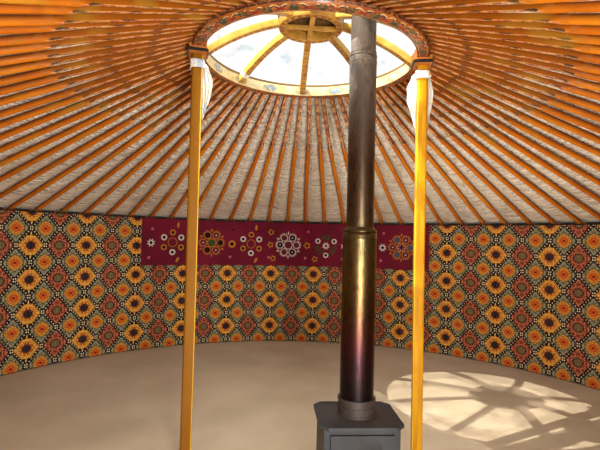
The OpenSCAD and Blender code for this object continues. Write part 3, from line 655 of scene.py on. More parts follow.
open_rosette(0.36, 0.268)
full_rosette(0.83, 0.272, "ochre_yarn", ("dark_yarn", "plum_yarn"), "green_yarn")
open_rosette(1.32, 0.266)
full_rosette(1.79, 0.262, "white_yarn", ("plum_yarn", "dark_yarn"), "plum_yarn")
leafy_rosette(2.27, 0.262)
open_rosette(2.74, 0.262)
full_rosette(3.21, 0.268, "ochre_yarn", ("slate_yarn", "plum_yarn"), "plum_yarn")
eyelet("white_yarn", 3.21, 0.268, 0.030, "dark_yarn", 8)
for along, yarn, size, spikes in ((0.11, "white_yarn", 0.034, 8), (0.58, "ochre_yarn", 0.036, 0),
                                  (1.08, "ochre_yarn", 0.046, 0), (1.565, "ochre_yarn", 0.030, 5),
                                  (2.03, "ochre_yarn", 0.036, 5), (2.50, "white_yarn", 0.030, 6),
                                  (2.98, "white_yarn", 0.036, 8), (3.45, "ochre_yarn", 0.034, 0)):
    low, high = (0.09, 0.42) if int(along * 100) % 2 else (0.10, 0.435)
    eyelet(yarn, along, 0.26, size, "dark_yarn", spikes)
    sew("pink_yarn", along - 0.02, low, 0.017, 0.004)
    sew(("pink_yarn", "dark_yarn")[int(along) % 2], along + 0.012, high, 0.016, 0.004)
for along in (1.57, 1.60, 2.13, 2.87):
    eyelet("ochre_yarn", along, 0.42 if along < 1.59 or along > 2.5 else 0.09, 0.030, "dark_yarn", 5)
for yarn, rings in stitches.items():
    yarn_finish, shader = finish_of(yarn, rough=0.85, sheen=0.2, specular=0.2)
    thread = noise(object_place(shader), 320.0, 2.0)
    shade = tuple(0.55 * part for part in YARNS[yarn])
    finish_with(shader, mix(thread.ramp(0.3, 0.7) * 0.5, YARNS[yarn], shade), thread, 0.001)
    fit(surface(yarn, np.array(rings)), yarn_finish, "red_cloth")


# Roof poles
# Eighty peeled poles, round over most of their length and squared for the last part, where they
# enter the crown. They are painted orange, and the square ends carry painted knots and diamonds.
HEAD_R, FOOT_Z = 3.0679, 1.575
CROWN_R, TENON_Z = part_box("crown_ring")[1].x, 2.471
SLOPE = math.atan((TENON_Z - FOOT_Z) / (HEAD_R - CROWN_R))
POLE_L = (HEAD_R - CROWN_R) / math.cos(SLOPE)
POLE_D, END_W, END_H, END_L = 0.040, 0.025, 0.031, 0.780
POLE_STEP = 360 / POLES
UPWARD = np.array((0.0, 0.0, 1.0))


def smooth(value):
    """0 below 0, 1 above 1 and an S between."""
    value = np.clip(value, 0, 1)
    return value * value * (3 - 2 * value)


def closed(rows):
    """A grid whose first and last row are drawn in to one point."""
    return np.concatenate([rows[:1].mean(1, keepdims=True) + 0 * rows[:1], rows,
                           rows[-1:].mean(1, keepdims=True) + 0 * rows[-1:]])


def bar(path, side, up, section):
    """Points of a bar with closed ends: the section is laid across the path along side and up."""
    side, up = (np.broadcast_to(way, path.shape)[:, None] for way in (side, up))
    return closed(path[:, None] + section[..., :1] * side + section[..., 1:] * up)


def squared(wave, power):
    """A sine or cosine raised to a power with its sign kept, which makes circles squarer."""
    return np.sign(wave) * np.abs(wave) ** power


def rounded(count, width, height, square):
    """A closed outline with rounded corners; square is 2 for a circle and more for sharper corners."""
    turn = np.linspace(0, math.tau, count + 1) - math.pi / 2
    return spread(width / 2 * squared(np.cos(turn), 2.0 / square),
                  height / 2 * squared(np.sin(turn), 2.0 / square))


def ways(turn):
    """The level directions at a turn about the middle line: outwards and sideways."""
    return np.array((math.cos(turn), math.sin(turn), 0.0)), np.array((-math.sin(turn), math.cos(turn), 0.0))


def pole_points(index, draw):
    """One pole from its foot to the crown, with a slight bend to one side and the square end."""
    shoulder = POLE_L - END_L
    along = np.concatenate([[-0.0035, -0.001], np.linspace(0.004, shoulder, 24),
                            np.linspace(shoulder + 0.012, shoulder + 0.12, 9),
                            np.linspace(shoulder + 0.2, POLE_L - 0.0012, 9)])
    way, side = ways(math.radians(POLE_STEP * index))
    side = -side
    inward = math.sin(SLOPE) * UPWARD - math.cos(SLOPE) * way
    up = math.cos(SLOPE) * UPWARD + math.sin(SLOPE) * way
    part = along / POLE_L
    lean = draw.uniform(-0.008, 0.008, 2)
    bend = lean[0] + (lean[1] - lean[0]) * part + draw.normal() * 0.006 * np.sin(math.pi * part)
    bend = bend * smooth(part / 0.02) * smooth((1 - part) / 0.02)
    bend = bend + draw.normal() * 0.003 * np.sin(math.tau * part)
    droop = -abs(draw.normal()) * 0.0025 * np.sin(math.pi * part)
    path = HEAD_R * way + FOOT_Z * UPWARD + along[:, None] * inward + bend[:, None] * side + droop[:, None] * up
    square = smooth((along - shoulder) / 0.11)[:, None, None]
    swell = 1 + 0.02 * np.sin(along * 9 + draw.uniform(0, 6))[:, None, None] * (1 - square)
    circle = rounded(20, POLE_D, POLE_D, 2.0) * 0.99
    box = rounded(20, END_W, END_H, 8.0) + np.array((0, POLE_D / 2 - END_H / 2))
    end = np.where(along < 0, 0.9, 1.0)[:, None, None]
    section = (circle * swell * (1 - square) + box * square) * end
    section[..., 1] = np.minimum(section[..., 1], POLE_D / 2)
    rows = bar(path, side, up, section)
    # The crown end is cut upright, where it butts against the ring.
    excess = np.maximum(CROWN_R + 0.0004 - np.hypot(rows[..., 0], rows[..., 1]), 0)
    rows = rows - (excess / math.cos(SLOPE))[..., None] * inward
    distance = POLE_L - np.concatenate([along[:1], along, along[-1:]])[:, None]
    return rows, spread(np.linspace(-0.5, 0.5, 21)[None, :], distance)


def make_wear():
    """Worn paint on wood: chips along the grain, greasy dark patches and a fine grain height."""
    made, (place, wear), end = group("worn_paint", {"Place": None, "Wear": 0.5}, ["Chips", "Grime", "Height"])
    x, y, z = axes(place)
    long = noise(vector(x * 5.0, y * 55.0, z * 55.0), 1.0, 5.0, 0.65)
    broad = noise(place, 3.1)
    join((long * 0.65 + broad * 0.35).ramp(0.70 - wear * 0.22, 0.74 - wear * 0.22), end["Chips"])
    join(noise(place, 9.0, 4.0).ramp(0.5, 0.8), end["Grime"])
    join(long, end["Height"])
    return made


wear = make_wear()
DIAMOND_STEP, KNOT_STEP = 0.105, 0.24
pole_finish, shader = finish_of("pole_paint", rough=0.55, coat=0.05, specular=0.22)
around, distance, _ = axes(cloth_place(shader))
tone = add(shader.id_data, "ShaderNodeAttribute", {}, "Fac", attribute_name="tone")
stretch = vector(distance + tone * 31.0, around * 0.135)
worn = use(wear, Place=stretch, Wear=0.42)
cloud = noise(stretch, 2.2)
old_varnish = noise(stretch, 3.4, 2.0).ramp(0.56, 0.66)
low = 0.5 - around.size()
square_end = distance.ramp(0.765, 0.73)
under = square_end * low.below(0.11)
flake = noise(stretch, 34.0, 4.0).above(0.45)
ragged = noise(stretch, 46.0) * 2.6 - 0.45
hatch = (distance * 390.0 + low * 70.0).sin()
diamond = (distance / DIAMOND_STEP + tone * 0.5).cell().size() * 2.0 + low * 6.0
knot = (distance / KNOT_STEP + tone * 0.09 + 0.5).cell() * KNOT_STEP
knot = (knot * 30.0).power(2.0) + ((low - 0.11) * 12.0).power(2.0)
dab = ((distance / KNOT_STEP + tone * 0.4).cell() * 11.0).power(2.0) + ((low - 0.07) * 30.0).power(2.0)
# The upper flanks, next to the cloth, are painted a darker brown as painted shade, and the sides of the
# square end are painted brown as painted shade. Towards the crown the orange is deeper and darker, partly
# redder paint and partly painted shade. The painted figures on the square end are much worn: a chain of
# long diamonds and fine hatching on the pale underside, dark knots on the lower edges and dabs of pink.
colour = coats(mix(tone, paint(208, 112, 12), paint(228, 136, 22)),
               (cloud.ramp(0.4, 0.7) * 0.7, paint(188, 94, 12)),
               (distance.ramp(1.1, 0.0) * 0.6, paint(172, 84, 18)),
               (low.ramp(0.12, 0.32) * 0.8, paint(84, 32, 6)),
               (square_end * low.ramp(0.11, 0.15) * 0.66, paint(144, 78, 2)),
               (under * 0.82, mix(cloud.ramp(0.4, 0.6), paint(255, 200, 140), paint(232, 152, 90))),
               (under * flake * hatch.above(0.25) * 0.75, paint(92, 42, 16)),
               (under * flake * diamond.below(0.56) * 0.7, paint(182, 74, 46)),
               (under * flake * diamond.near(0.60, 0.06) * 0.8, paint(62, 40, 28)),
               (under * flake * diamond.below(0.22), paint(50, 58, 54)),
               (square_end * flake * low.near(0.10, 0.018) * 0.5, paint(242, 198, 148)),
               (distance.below(0.77) * knot.below(ragged) * 0.9, paint(34, 44, 42)),
               (square_end * dab.below(ragged) * 0.6, paint(224, 92, 92)),
               (distance.near(0.782, 0.016) * low.above(0.07) * 0.4, paint(166, 104, 46)),
               (worn["Chips"] * 0.75, paint(150, 98, 58)), (worn["Grime"] * 0.35, paint(92, 40, 14)),
               (old_varnish * 0.40, paint(172, 138, 44)))
finish_with(shader, colour, worn["Height"], 0.0016, Roughness=worn["Height"] * 0.25 + 0.42)
draw = np.random.default_rng(5)
pole_tones = draw.random(POLES)
for part in range(8):
    points, maps = map(np.array, zip(*(pole_points(10 * part + k, draw) for k in range(10))))
    tones = np.broadcast_to(pole_tones[10 * part:10 * part + 10, None, None], points.shape[:3])
    fit(surface(f"poles_{part + 1}", points, maps, tones), pole_finish, "orange_wood", f"roof_poles_{part + 1}")


# Pole ties
# A loop of twisted black horsehair cord under each pole foot, which ties it to the crossing laths.
cord_finish, shader = finish_of("horsehair_cord", rough=0.8, sheen=0.2, specular=0.2)
place = object_place(shader)
x, y, z = axes(place)
hair = noise(place, 260.0)
finish_with(shader, mix(hair.ramp(0.3, 0.7), paint(20, 16, 15), paint(58, 46, 38)),
            ((x + y + z) * 900.0).sin() * 0.6 + hair, 0.0012)
dress("pole_ties", cord_finish)


# Roof lining
# One round of thin pale cotton lies over the poles, sewn from strips. It sags between the poles
# and is drawn into small creases across each gap.
def cone_z(radius, above):
    """Height of a cone that lies a distance above the middle of the poles."""
    return FOOT_Z + (HEAD_R - radius) * math.tan(SLOPE) + above / math.cos(SLOPE)


LINING_LOW_R, LINING_HIGH_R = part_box("roof_lining")[1].x - 0.002, CROWN_R + 0.004
COLUMNS, POLE_FLANK = 12, 0.0155
index = np.arange(POLES * COLUMNS + 1)[:, None]
radius = np.linspace(LINING_LOW_R, LINING_HIGH_R, 86)[None, :]
column = index % COLUMNS
half_gap = radius * math.radians(POLE_STEP / 2)
from_pole = np.minimum(column, COLUMNS - column)
shift = np.where(from_pole <= 2, from_pole * POLE_FLANK / 2,
                 POLE_FLANK + (half_gap - POLE_FLANK) * ((from_pole - 2) / 4.0))
turn = index // COLUMNS * math.radians(POLE_STEP)
turn = turn + np.where(column <= COLUMNS // 2, shift, 2 * half_gap - shift) / radius
loose = 0.020 * smooth((half_gap - 0.022) / 0.03)
loose = loose * (1 + 0.35 * ripple(turn * 3, radius * 2, seed=8, waves=9, length=1.6))
part = np.clip((shift - POLE_FLANK) / (half_gap - POLE_FLANK), 0, 1)
crease = ripple(radius, turn * radius * 0.16, seed=14, waves=12, length=0.085)
crease = crease * (0.6 + 0.8 * ripple(turn * 6, radius, seed=15, waves=6, length=0.8))
sag = loose * (1 - (1 - part) ** 2) + 0.0062 * crease * part ** 0.7 * smooth((half_gap - 0.03) / 0.025)
edge = smooth((radius - LINING_HIGH_R) / 0.06) * smooth((LINING_LOW_R - radius) / 0.06)
lift = POLE_D / 2 + 0.0022 - np.clip(sag, -0.0015, None) * edge
roof_cloth = surface("roof_cloth", round_points(radius, turn, cone_z(radius, lift)), spread(turn * 2.0, radius))
roof_cloth_finish, shader = finish_of("pale_cotton", rough=0.9, sheen=0.1, specular=0.2)
place = object_place(shader)
across, out, _ = axes(cloth_place(shader))
stain = noise(place, 2.6, 4.0)
fine = noise(vector(across * 5.0, out * 38.0), 1.0, 4.0, 0.6)
pleats = (noise(vector(across * 11.0 + stain * 3.0, out * 15.0), 1.0, 2.0) - 0.5).size()
# The creases are also painted into the colour: darker streaks along them are painted shade, and pale lines
# along the pleats are painted highlight.
colour = coats(mix(stain.ramp(0.35, 0.7), paint(250, 240, 222), paint(226, 208, 186)),
               (fine.ramp(0.46, 0.66) * 0.7, paint(158, 134, 112)),
               (pleats.ramp(0.035, 0.0) * 0.7, paint(250, 246, 236)))
finish_with(shader, colour, fine * 11.0 - pleats.ramp(0.07, 0.0) * 4.0 + noise(place, 420.0, 1.0) * 0.4, 0.003)
fit(roof_cloth, roof_cloth_finish, "pale_cloth", "roof_lining")


# Crown ring, spokes and hub
# A steam-bent wheel: a heavy rim with a socket for each pole, eight arched spokes, and a raised
# hub with a cross under its lid. All parts are painted yellow and orange with worn ornament.
CROWN_IN_R = CROWN_R - 0.071
crown_low, crown_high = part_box("crown_ring")
HUB_R, HUB_IN_R = 0.195, 0.157
hub_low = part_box("crown_hub")[0]


def revolve(name, outline, steps=192, centre=(0.0, 0.0)):
    """A turned piece: a closed outline of radius and height swept about the upright line at centre."""
    outline = np.asarray(outline, float)
    turn = np.linspace(0, math.tau, steps + 1)[:, None]
    run = np.concatenate([[0], np.cumsum(np.hypot(*np.diff(outline, axis=0).T))])
    return surface(name, round_points(outline[:, 0], turn, outline[:, 1]) + (*centre, 0.0),
                   spread(turn * outline[:, 0].max(), run))


def rounded_outline(corners, radius, steps=4):
    """A closed outline with each corner rounded by a short curve; corners are in order."""
    corners = np.asarray(corners, float)
    points = []
    for before, here, after in zip(np.roll(corners, 1, 0), corners, np.roll(corners, -1, 0)):
        back, ahead = before - here, after - here
        first = here + back / np.linalg.norm(back) * min(radius, np.linalg.norm(back) / 2)
        last = here + ahead / np.linalg.norm(ahead) * min(radius, np.linalg.norm(ahead) / 2)
        for t in np.linspace(0, 1, steps):
            points.append((1 - t) ** 2 * first + 2 * t * (1 - t) * here + t * t * last)
    points.append(points[0])
    return np.array(points)


ring_outline = rounded_outline([(CROWN_IN_R, crown_low.z), (CROWN_R - 0.017, crown_low.z),
                                (CROWN_R, crown_low.z + 0.024), (CROWN_R, crown_high.z),
                                (CROWN_IN_R, crown_high.z)], 0.009)
crown = revolve("crown_rim", ring_outline[::-1], 288)
crown_finish, shader = finish_of("crown_paint", rough=0.45, coat=0.2, specular=0.4)
place = object_place(shader)
reach, spin, z = round_axes(place)
worn = use(wear, Place=vector(spin * 0.7, reach, z), Wear=0.6)
blotch = noise(place, 16.0, 4.0)
patchy = blotch.ramp(0.4, 0.6)
flake = noise(place, 60.0).above(0.44)
along = (spin * (32 / math.tau)).cell() * 0.131
out = reach - 0.669
curl = ((along.size() - 0.030) * 30.0).power(2.0) + (out * 44.0).power(2.0)
heart = (along * 34.0).power(2.0) + (out * 52.0).power(2.0)
leaf = ((along.size() - 0.054) * 70.0).power(2.0) + (out * 38.0).power(2.0)
under = coats(mix(patchy, paint(184, 104, 40), paint(150, 80, 30)),
              (curl.near(0.62, 0.22) * flake, paint(46, 54, 84)),
              (curl.near(1.05, 0.16) * flake, paint(222, 184, 116)),
              (leaf.below(0.8) * flake, paint(60, 78, 58)), (heart.below(0.5) * flake, paint(146, 38, 34)),
              (out.size().near(0.0315, 0.0022) * flake, paint(64, 40, 34)))
seat = (spin * (16 / math.tau) + 0.5).cell() * 0.249
oval = (seat * 21.0).power(2.0) + ((z - TENON_Z) * 42.0).power(2.0)
inner = coats(mix(blotch.ramp(0.35, 0.7), paint(248, 236, 192), paint(236, 210, 140)),
              (oval.below(0.8) * flake, paint(140, 172, 196)),
              (oval.near(1.1, 0.25) * flake, paint(206, 168, 96)))
rim_height = z - crown_low.z
colour = coats(under, (rim_height.above(0.004) * reach.below(0.66), inner),
               (rim_height.above(0.026) * reach.above(0.66),
                mix(patchy, paint(124, 60, 24), paint(92, 42, 18))),
               (worn["Chips"] * 0.6, paint(170, 130, 84)), (worn["Grime"] * 0.3, paint(110, 52, 20)))
finish_with(shader, colour, worn["Height"] + blotch * 0.5, 0.0022)
fit(crown, crown_finish, "orange_wood", "crown_ring")

HUB_MID_Z, BOW = hub_low.z + 0.032, 0.026
run, rise = CROWN_IN_R - HUB_R, HUB_MID_Z - TENON_Z
chord = math.hypot(run, rise)
bend_r = chord * chord / 8 / BOW + BOW / 2
lean = math.atan2(rise, run)
middle_r = (CROWN_IN_R + HUB_R) / 2 - (bend_r - BOW) * math.sin(lean)
middle_z = (TENON_Z + HUB_MID_Z) / 2 - (bend_r - BOW) * math.cos(lean)
half = math.asin(chord / 2 / bend_r)
phi = math.pi / 2 - lean - np.linspace(-half - 0.012, half + 0.012, 25)
spoke_parts, spoke_maps = [], []
for k in range(8):
    way, side = ways(math.pi / 4 * k)
    arch = np.cos(phi)[:, None] * way + np.sin(phi)[:, None] * UPWARD
    path = middle_r * way + middle_z * UPWARD + bend_r * arch
    rows = bar(path, side, arch, rounded(24, 0.044, 0.042, 9.0))
    reach = np.hypot(rows[..., 0], rows[..., 1])
    rows[..., :2] *= (np.clip(reach, HUB_R - 0.004, CROWN_IN_R + 0.004) / reach)[..., None]
    spoke_parts.append(rows)
    spoke_maps.append(spread(np.linspace(-0.5, 0.5, 25), np.hypot(rows[..., 0], rows[..., 1]) + k * 2.0))
spokes = surface("arched_spokes", np.array(spoke_parts), np.array(spoke_maps))
spoke_finish, shader = finish_of("spoke_paint", rough=0.42, coat=0.2, specular=0.45)
around, along, _ = axes(cloth_place(shader))
worn = use(wear, Place=vector(along, around * 0.15), Wear=0.5)
blotch = noise(object_place(shader), 14.0)
low_face = around.size().above(0.375)
wave = (along * 90.0).sin()
colour = coats(mix(blotch.ramp(0.35, 0.65), paint(226, 186, 84), paint(200, 154, 60)),
               (low_face, mix(blotch.ramp(0.4, 0.6), paint(196, 144, 70), paint(166, 112, 52))),
               ((wave * 0.05 + around.size()).near(0.45, 0.014) * low_face * 0.5, paint(222, 172, 84)),
               (wave.size().above(0.93) * around.size().above(0.46) * 0.55, paint(90, 74, 60)),
               (worn["Chips"] * 0.5, paint(170, 130, 84)), (worn["Grime"] * 0.3, paint(120, 62, 20)))
finish_with(shader, colour, worn["Height"], 0.002)
fit(spokes, spoke_finish, "yellow_wood", "crown_spokes")

# The light hoop nailed on top of the rim is dark with old oil
hoop_finish, shader = finish_of("hoop_wood", rough=0.55, specular=0.35)
reach, spin, z = round_axes(object_place(shader))
wood = use(grain, Place=vector(spin * 0.65, reach, z), Streaks=80.0)
colour = mix(wood["Tone"].ramp(0.3, 0.7), paint(112, 84, 40), paint(160, 132, 70))
finish_with(shader, colour, wood["Height"], 0.001)
dress("crown_hoop", hoop_finish)

hub_top = hub_low.z + 0.064
hub_ring = revolve("hub_rim", rounded_outline([(HUB_IN_R, hub_low.z), (HUB_R, hub_low.z), (HUB_R, hub_top),
                                               (HUB_IN_R, hub_top)], 0.006)[::-1], 96)
lid = revolve("hub_lid", [(0.0, hub_top)] + [(0.2, hub_top), (0.203, hub_top + 0.003), (0.203, hub_top + 0.009),
                                             (0.2, hub_top + 0.012), (0.0, hub_top + 0.012)], 96)
hub_finish, shader = finish_of("hub_paint", rough=0.45, coat=0.15, specular=0.4)
place = object_place(shader)
reach, spin, z = round_axes(place)
worn = use(wear, Place=vector(spin * 0.2, reach, z), Wear=0.5)
from_middle = (reach - 0.176).size()
key = (spin * 24.0).sin().above(0.1) * from_middle.below(0.007)
colour = coats(mix(noise(place, 18.0).ramp(0.35, 0.65), paint(206, 158, 70), paint(176, 122, 46)),
               ((z - hub_low.z).below(0.003) * key.upper(from_middle.near(0.012, 0.0018)), paint(132, 66, 26)),
               ((z - hub_top).above(-0.001), paint(84, 62, 36)),
               (worn["Chips"] * 0.5, paint(170, 130, 84)), (worn["Grime"] * 0.35, paint(110, 56, 18)))
finish_with(shader, colour, worn["Height"], 0.002)
fit(hub_ring, hub_finish, "yellow_wood", "crown_hub")
fit(lid, hub_finish, "yellow_wood")
cross_parts = []
for turn in (0.0, math.pi / 2):
    way, side = ways(turn)
    path = np.linspace(-HUB_IN_R - 0.004, HUB_IN_R + 0.004, 12)[:, None] * way + (0, 0, hub_low.z + 0.0112)
    cross_parts.append(bar(path, side, UPWARD, rounded(24, 0.030, 0.022, 9.0)))
fit(surface("hub_cross_bars", np.array(cross_parts)), hub_finish, "orange_wood", "hub_cross")


# Crown cover
# A thin clear plastic skin tied over the crown wheel. It is dusty, so that the sky shows through as a
# white glare, and patches of it are tinted blue and less clear, which show as pale blue smears in the glare.
cover_finish, shader = finish_of("clear_skin", rough=0.15, specular=0.5)
place = object_place(shader)
blue_smear = noise(place, 7.0, 5.0, 0.6).ramp(0.44, 0.66) * noise(place, 2.5).ramp(0.44, 0.56)
finish_with(shader, mix(blue_smear, (0.9, 0.94, 0.96), (0.20, 0.62, 0.96)), Alpha=blue_smear * 0.42 + 0.04)
join(0.8, shader.inputs["Transmission Weight"])
dress("crown_glazing", cover_finish)


# Crown posts and saddles
# Two square timbers carry the crown wheel. They are painted yellow and planed smooth with the corners
# taken off. The corners on the side towards the middle of the room carry a painted highlight, and the left
# post is painted darker as painted shade. A saddle on each grips the rim from below.
post_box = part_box("crown_posts")
POST_W, POST_R, POST_ANGLE = 0.062, CROWN_R - 0.0355, math.radians(11.25)
LEFT_POST, RIGHT_POST = math.pi + POST_ANGLE, -POST_ANGLE
post_h = post_box[1].z - post_box[0].z
post_parts, post_maps = [], []
for turn, seed in ((RIGHT_POST, 1), (LEFT_POST, 2)):
    height = np.concatenate([[0, 0.002, 0.006], np.linspace(0.03, 0.97, 40) * post_h,
                             post_h - np.array([0.006, 0.002, 0])])
    waver = 0.0012 * np.sin(height * 3.1 + seed)
    way, side = ways(turn)
    path = (POST_R + waver)[:, None] * way + (post_box[0].z + height)[:, None] * UPWARD
    from_end = np.minimum(np.arange(len(height)), np.arange(len(height))[::-1])
    size = 1 - 0.10 * (from_end == 0) - 0.03 * (from_end == 1)
    rows = bar(path, way, side, rounded(32, POST_W, POST_W, 5.0)[None] * size[:, None, None])
    post_parts.append(rows)
    post_maps.append(spread(np.linspace(0, 0.24, 33), rows[..., 2] + seed * 9))
posts = surface("post_timbers", np.array(post_parts), np.array(post_maps))
post_finish, shader = finish_of("post_paint", rough=0.6, specular=0.2)
around, along, _ = axes(cloth_place(shader))
x = axes(object_place(shader))[0]
worn = use(wear, Place=vector(along, around), Wear=0.34)
blotch = noise(vector(along * 0.8, around * 6.0), 4.0)
# Painted highlight: bright yellow along the corners on the side towards the middle of the room. Painted shade:
# the left post, below x = 0, is painted darker.
corner_highlight = (around / 0.06).cell().size().below(0.13) * x.size().below(0.653)
colour = coats(mix(blotch.ramp(0.35, 0.65), paint(216, 158, 14), paint(190, 128, 8)),
               (x.below(0.0) * 0.8, paint(112, 66, 4)), (corner_highlight * 0.75, paint(240, 196, 66)),
               (worn["Chips"] * 0.45, paint(150, 92, 36)), (worn["Grime"] * 0.3, paint(130, 66, 10)))
finish_with(shader, colour, worn["Height"], 0.0022)
fit(posts, post_finish, "yellow_wood", "crown_posts")


def soften(piece, width=0.003, steps=2):
    """Rounds the sharp edges of a CAD piece."""
    bevel = piece.modifiers.new("rounded_edges", "BEVEL")
    bevel.width, bevel.segments = width, steps
    bevel.limit_method, bevel.angle_limit = "ANGLE", math.radians(35)


saddle_finish, shader = finish_of("saddle_paint", rough=0.5, coat=0.15, specular=0.4)
place = object_place(shader)
worn = use(wear, Place=place, Wear=0.5)
colour = coats(mix(noise(place, 20.0).ramp(0.35, 0.65), paint(214, 134, 60), paint(176, 98, 40)),
               (worn["Chips"] * 0.5, paint(150, 104, 66)))
finish_with(shader, colour, worn["Height"], 0.002)
soften(dress("post_saddles", saddle_finish), 0.006, 3)


# Saddle lashings
# Two turns of dark hair cord round each saddle, just below the rim.
CORD_R, SADDLE_X, SADDLE_Y = 0.0045, 0.0498, 0.0553
lash_parts = []
for turn in (RIGHT_POST, LEFT_POST):
    way, side = ways(turn)
    reach_x, reach_y = SADDLE_X + CORD_R, SADDLE_Y + CORD_R
    course = rounded_outline([(-reach_x, -reach_y), (reach_x, -reach_y), (reach_x, reach_y),
                              (-reach_x, reach_y)], 0.012, 7)
    ahead = np.roll(course[:-1], -1, 0) - np.roll(course[:-1], 1, 0)
    ahead = np.concatenate([ahead, ahead[:1]])
    ahead = ahead / np.linalg.norm(ahead, axis=1)[:, None]
    for k in range(2):
        section = np.linspace(0, math.tau, 13)[None, :]
        out_x = course[:, :1] + CORD_R * np.cos(section) * ahead[:, 1:]
        out_y = course[:, 1:] - CORD_R * np.cos(section) * ahead[:, :1]
        points = POST_R * way + out_x[..., None] * way + out_y[..., None] * side
        points[..., 2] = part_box("saddle_lashings")[0].z + CORD_R + 2 * CORD_R * k + CORD_R * np.sin(section)
        lash_parts.append(points)
fit(surface("saddle_cords", np.array(lash_parts)), cord_finish, "cord", "saddle_lashings")


# Scarves
# Thin silky cotton scarves, white and pale blue. One is wound twice round the top of each post and
# knotted, so that its ends hang in narrow folds, and a short one is tied round a spoke at the rim.
scarf_finish, shader = finish_of("scarf_cloth", rough=0.55, sheen=0.35, specular=0.35)
place = object_place(shader)
x, y, z = axes(place)
weave, tint = noise(place, 520.0, 2.0), noise(place, 9.0)
streaks = noise(vector(x * 34.0, y * 34.0, z * 2.5), 1.0, 2.0)
colour = coats(mix(x.below(0.0) * streaks.ramp(0.40, 0.60) * 0.8, paint(244, 240, 228), paint(160, 184, 206)),
               (x.below(0.0) * tint.ramp(0.5, 0.6) * 0.5, paint(232, 214, 160)),
               (weave.ramp(0.4, 0.7) * 0.15, paint(150, 160, 170)))
finish_with(shader, colour, weave, 0.0005)
WRAP_TOP, SCARF_L = post_box[1].z - 0.030, 0.350
KNOT_Z = WRAP_TOP - 0.026


def scarf_end(turn, outwards, seed, width):
    """A gathered end of cloth beside a post: three broad pleats run down it, the free edge swings out
    from the post and comes back to a narrow tip."""
    way, side = ways(turn)
    down, across = np.linspace(0, 1, 48)[:, None], np.linspace(0, 1, 81)[None, :]
    free = 0.5 + 0.46 * smooth(down * 3.4) - 0.10 * smooth((down - 0.3) / 0.3)
    free = free - 0.60 * smooth((down - 0.5) / 0.5)
    free = width * (free + 0.035 * np.sin(down * 17 + seed) * smooth(down * 4))
    near = 0.0325 + 0.0105 * (1 - smooth((down * SCARF_L - 0.012) / 0.025))
    pleat = 0.0084 * np.sin(math.tau * (2.4 * across + 0.5 * across ** 2)
                            + 1.5 * np.sin(down * 4.0 + seed) + seed)
    pleat = pleat * (1 - 0.3 * down) + 0.0016 * ripple(across * 2, down * 6, seed=seed + 1, waves=8, length=1.0)
    reach = outwards * (near + across * (free + 0.0313 - near))
    point = POST_R * way + reach[..., None] * way + pleat[..., None] * side
    point[..., 2] = KNOT_Z - (SCARF_L - 0.028) * down * (1 - 0.10 * across)
    return point


def rolled_turn(middle, first, second, third, half_a, half_b, thick, deep, seed, lean=0.0):
    """One turn of rolled cloth: a rounded square loop along the first two directions, half_a by half_b,
    whose section is thick across and deep along the third, with wrinkles that run round it."""
    around, section = np.linspace(0, math.tau, 97)[:, None], np.linspace(0, math.tau, 15)[None, :]
    a, b = squared(np.cos(around), 0.34), squared(np.sin(around), 0.34)
    fold = 0.12 * np.sin(5 * around + 3 * section + seed) + 0.10 * np.sin(11 * around - 2 * section + 2 * seed)
    out = thick * (np.cos(section) + fold)
    along = deep * (np.sin(section) + 0.5 * fold) + lean * np.sin(around + seed)
    return (middle + ((half_a + out) * a)[..., None] * first + ((half_b + out) * b)[..., None] * second
            + along[..., None] * third)


def knot_of_cloth(middle, first, second, third, size, seed):
    """A pulled knot: a ball with three deep folds wound round it."""
    turn, rise = np.linspace(0, math.tau, 49)[:, None], np.linspace(0, math.pi, 25)[None, :]
    fold = 0.82 + 0.12 * np.sin(3 * turn + 4 * rise + seed) + 0.06 * np.sin(7 * turn - 5 * rise)
    a, b = fold * np.sin(rise) * np.cos(turn), fold * np.sin(rise) * np.sin(turn)
    c = fold * np.cos(rise) + 0 * turn
    return middle + size * (a[..., None] * first + b[..., None] * second + c[..., None] * third)


for label, turn, ends in (("left", LEFT_POST, (-1,)), ("right", RIGHT_POST, (-1, 1))):
    way, side = ways(turn)
    middle = POST_R * way
    turns = [rolled_turn(middle + (WRAP_TOP - 0.014 - 0.024 * k) * UPWARD, way, side, UPWARD, 0.0365, 0.0365,
                         0.0046, 0.013, 2.0 * k + turn, 0.0012) for k in range(2)]
    wound = surface(f"scarf_turns_{label}", np.array(turns))
    fit(wound, scarf_finish, "scarf_cloth", *(["post_scarves"] if label == "left" else []))
    knots = []
    for k, end in enumerate(ends):
        at = middle + end * 0.042 * way + KNOT_Z * UPWARD
        knot = surface(f"scarf_knot_{label}_{k + 1}", knot_of_cloth(at, side, UPWARD, way, 0.0135, turn + k))
        knots.append(fit(knot, scarf_finish, "scarf_cloth"))
    for k, end in enumerate(ends):
        points = scarf_end(turn, end, 3 * k + int(turn) + 5, 0.060 if end < 0 else 0.036)
        loose = surface(f"scarf_end_{label}_{k + 1}", points)
        fit(loose, scarf_finish, "scarf_cloth")
        [wound, *knots] if k == 0 else []

angle = math.pi / 2 - lean - half + math.radians(2.6)
way, side = ways(3 * math.pi / 4)
out_way = math.cos(angle) * way + math.sin(angle) * UPWARD
along_way = -math.sin(angle) * way + math.cos(angle) * UPWARD
spot = middle_r * way + middle_z * UPWARD + bend_r * out_way
turns = [rolled_turn(spot + shift * along_way, side, out_way, along_way, 0.0252, 0.0242, 0.0028, 0.0085,
                     shift * 90) for shift in (-0.0085, 0.0085)]
tied = surface("spoke_scarf_turns", np.array(turns))
fit(tied, scarf_finish, "scarf_cloth", "spoke_scarf")
fit(surface("spoke_scarf_knot", knot_of_cloth(spot - 0.030 * out_way, side, along_way, out_way, 0.0145, 1.0)),
    scarf_finish, "scarf_cloth")


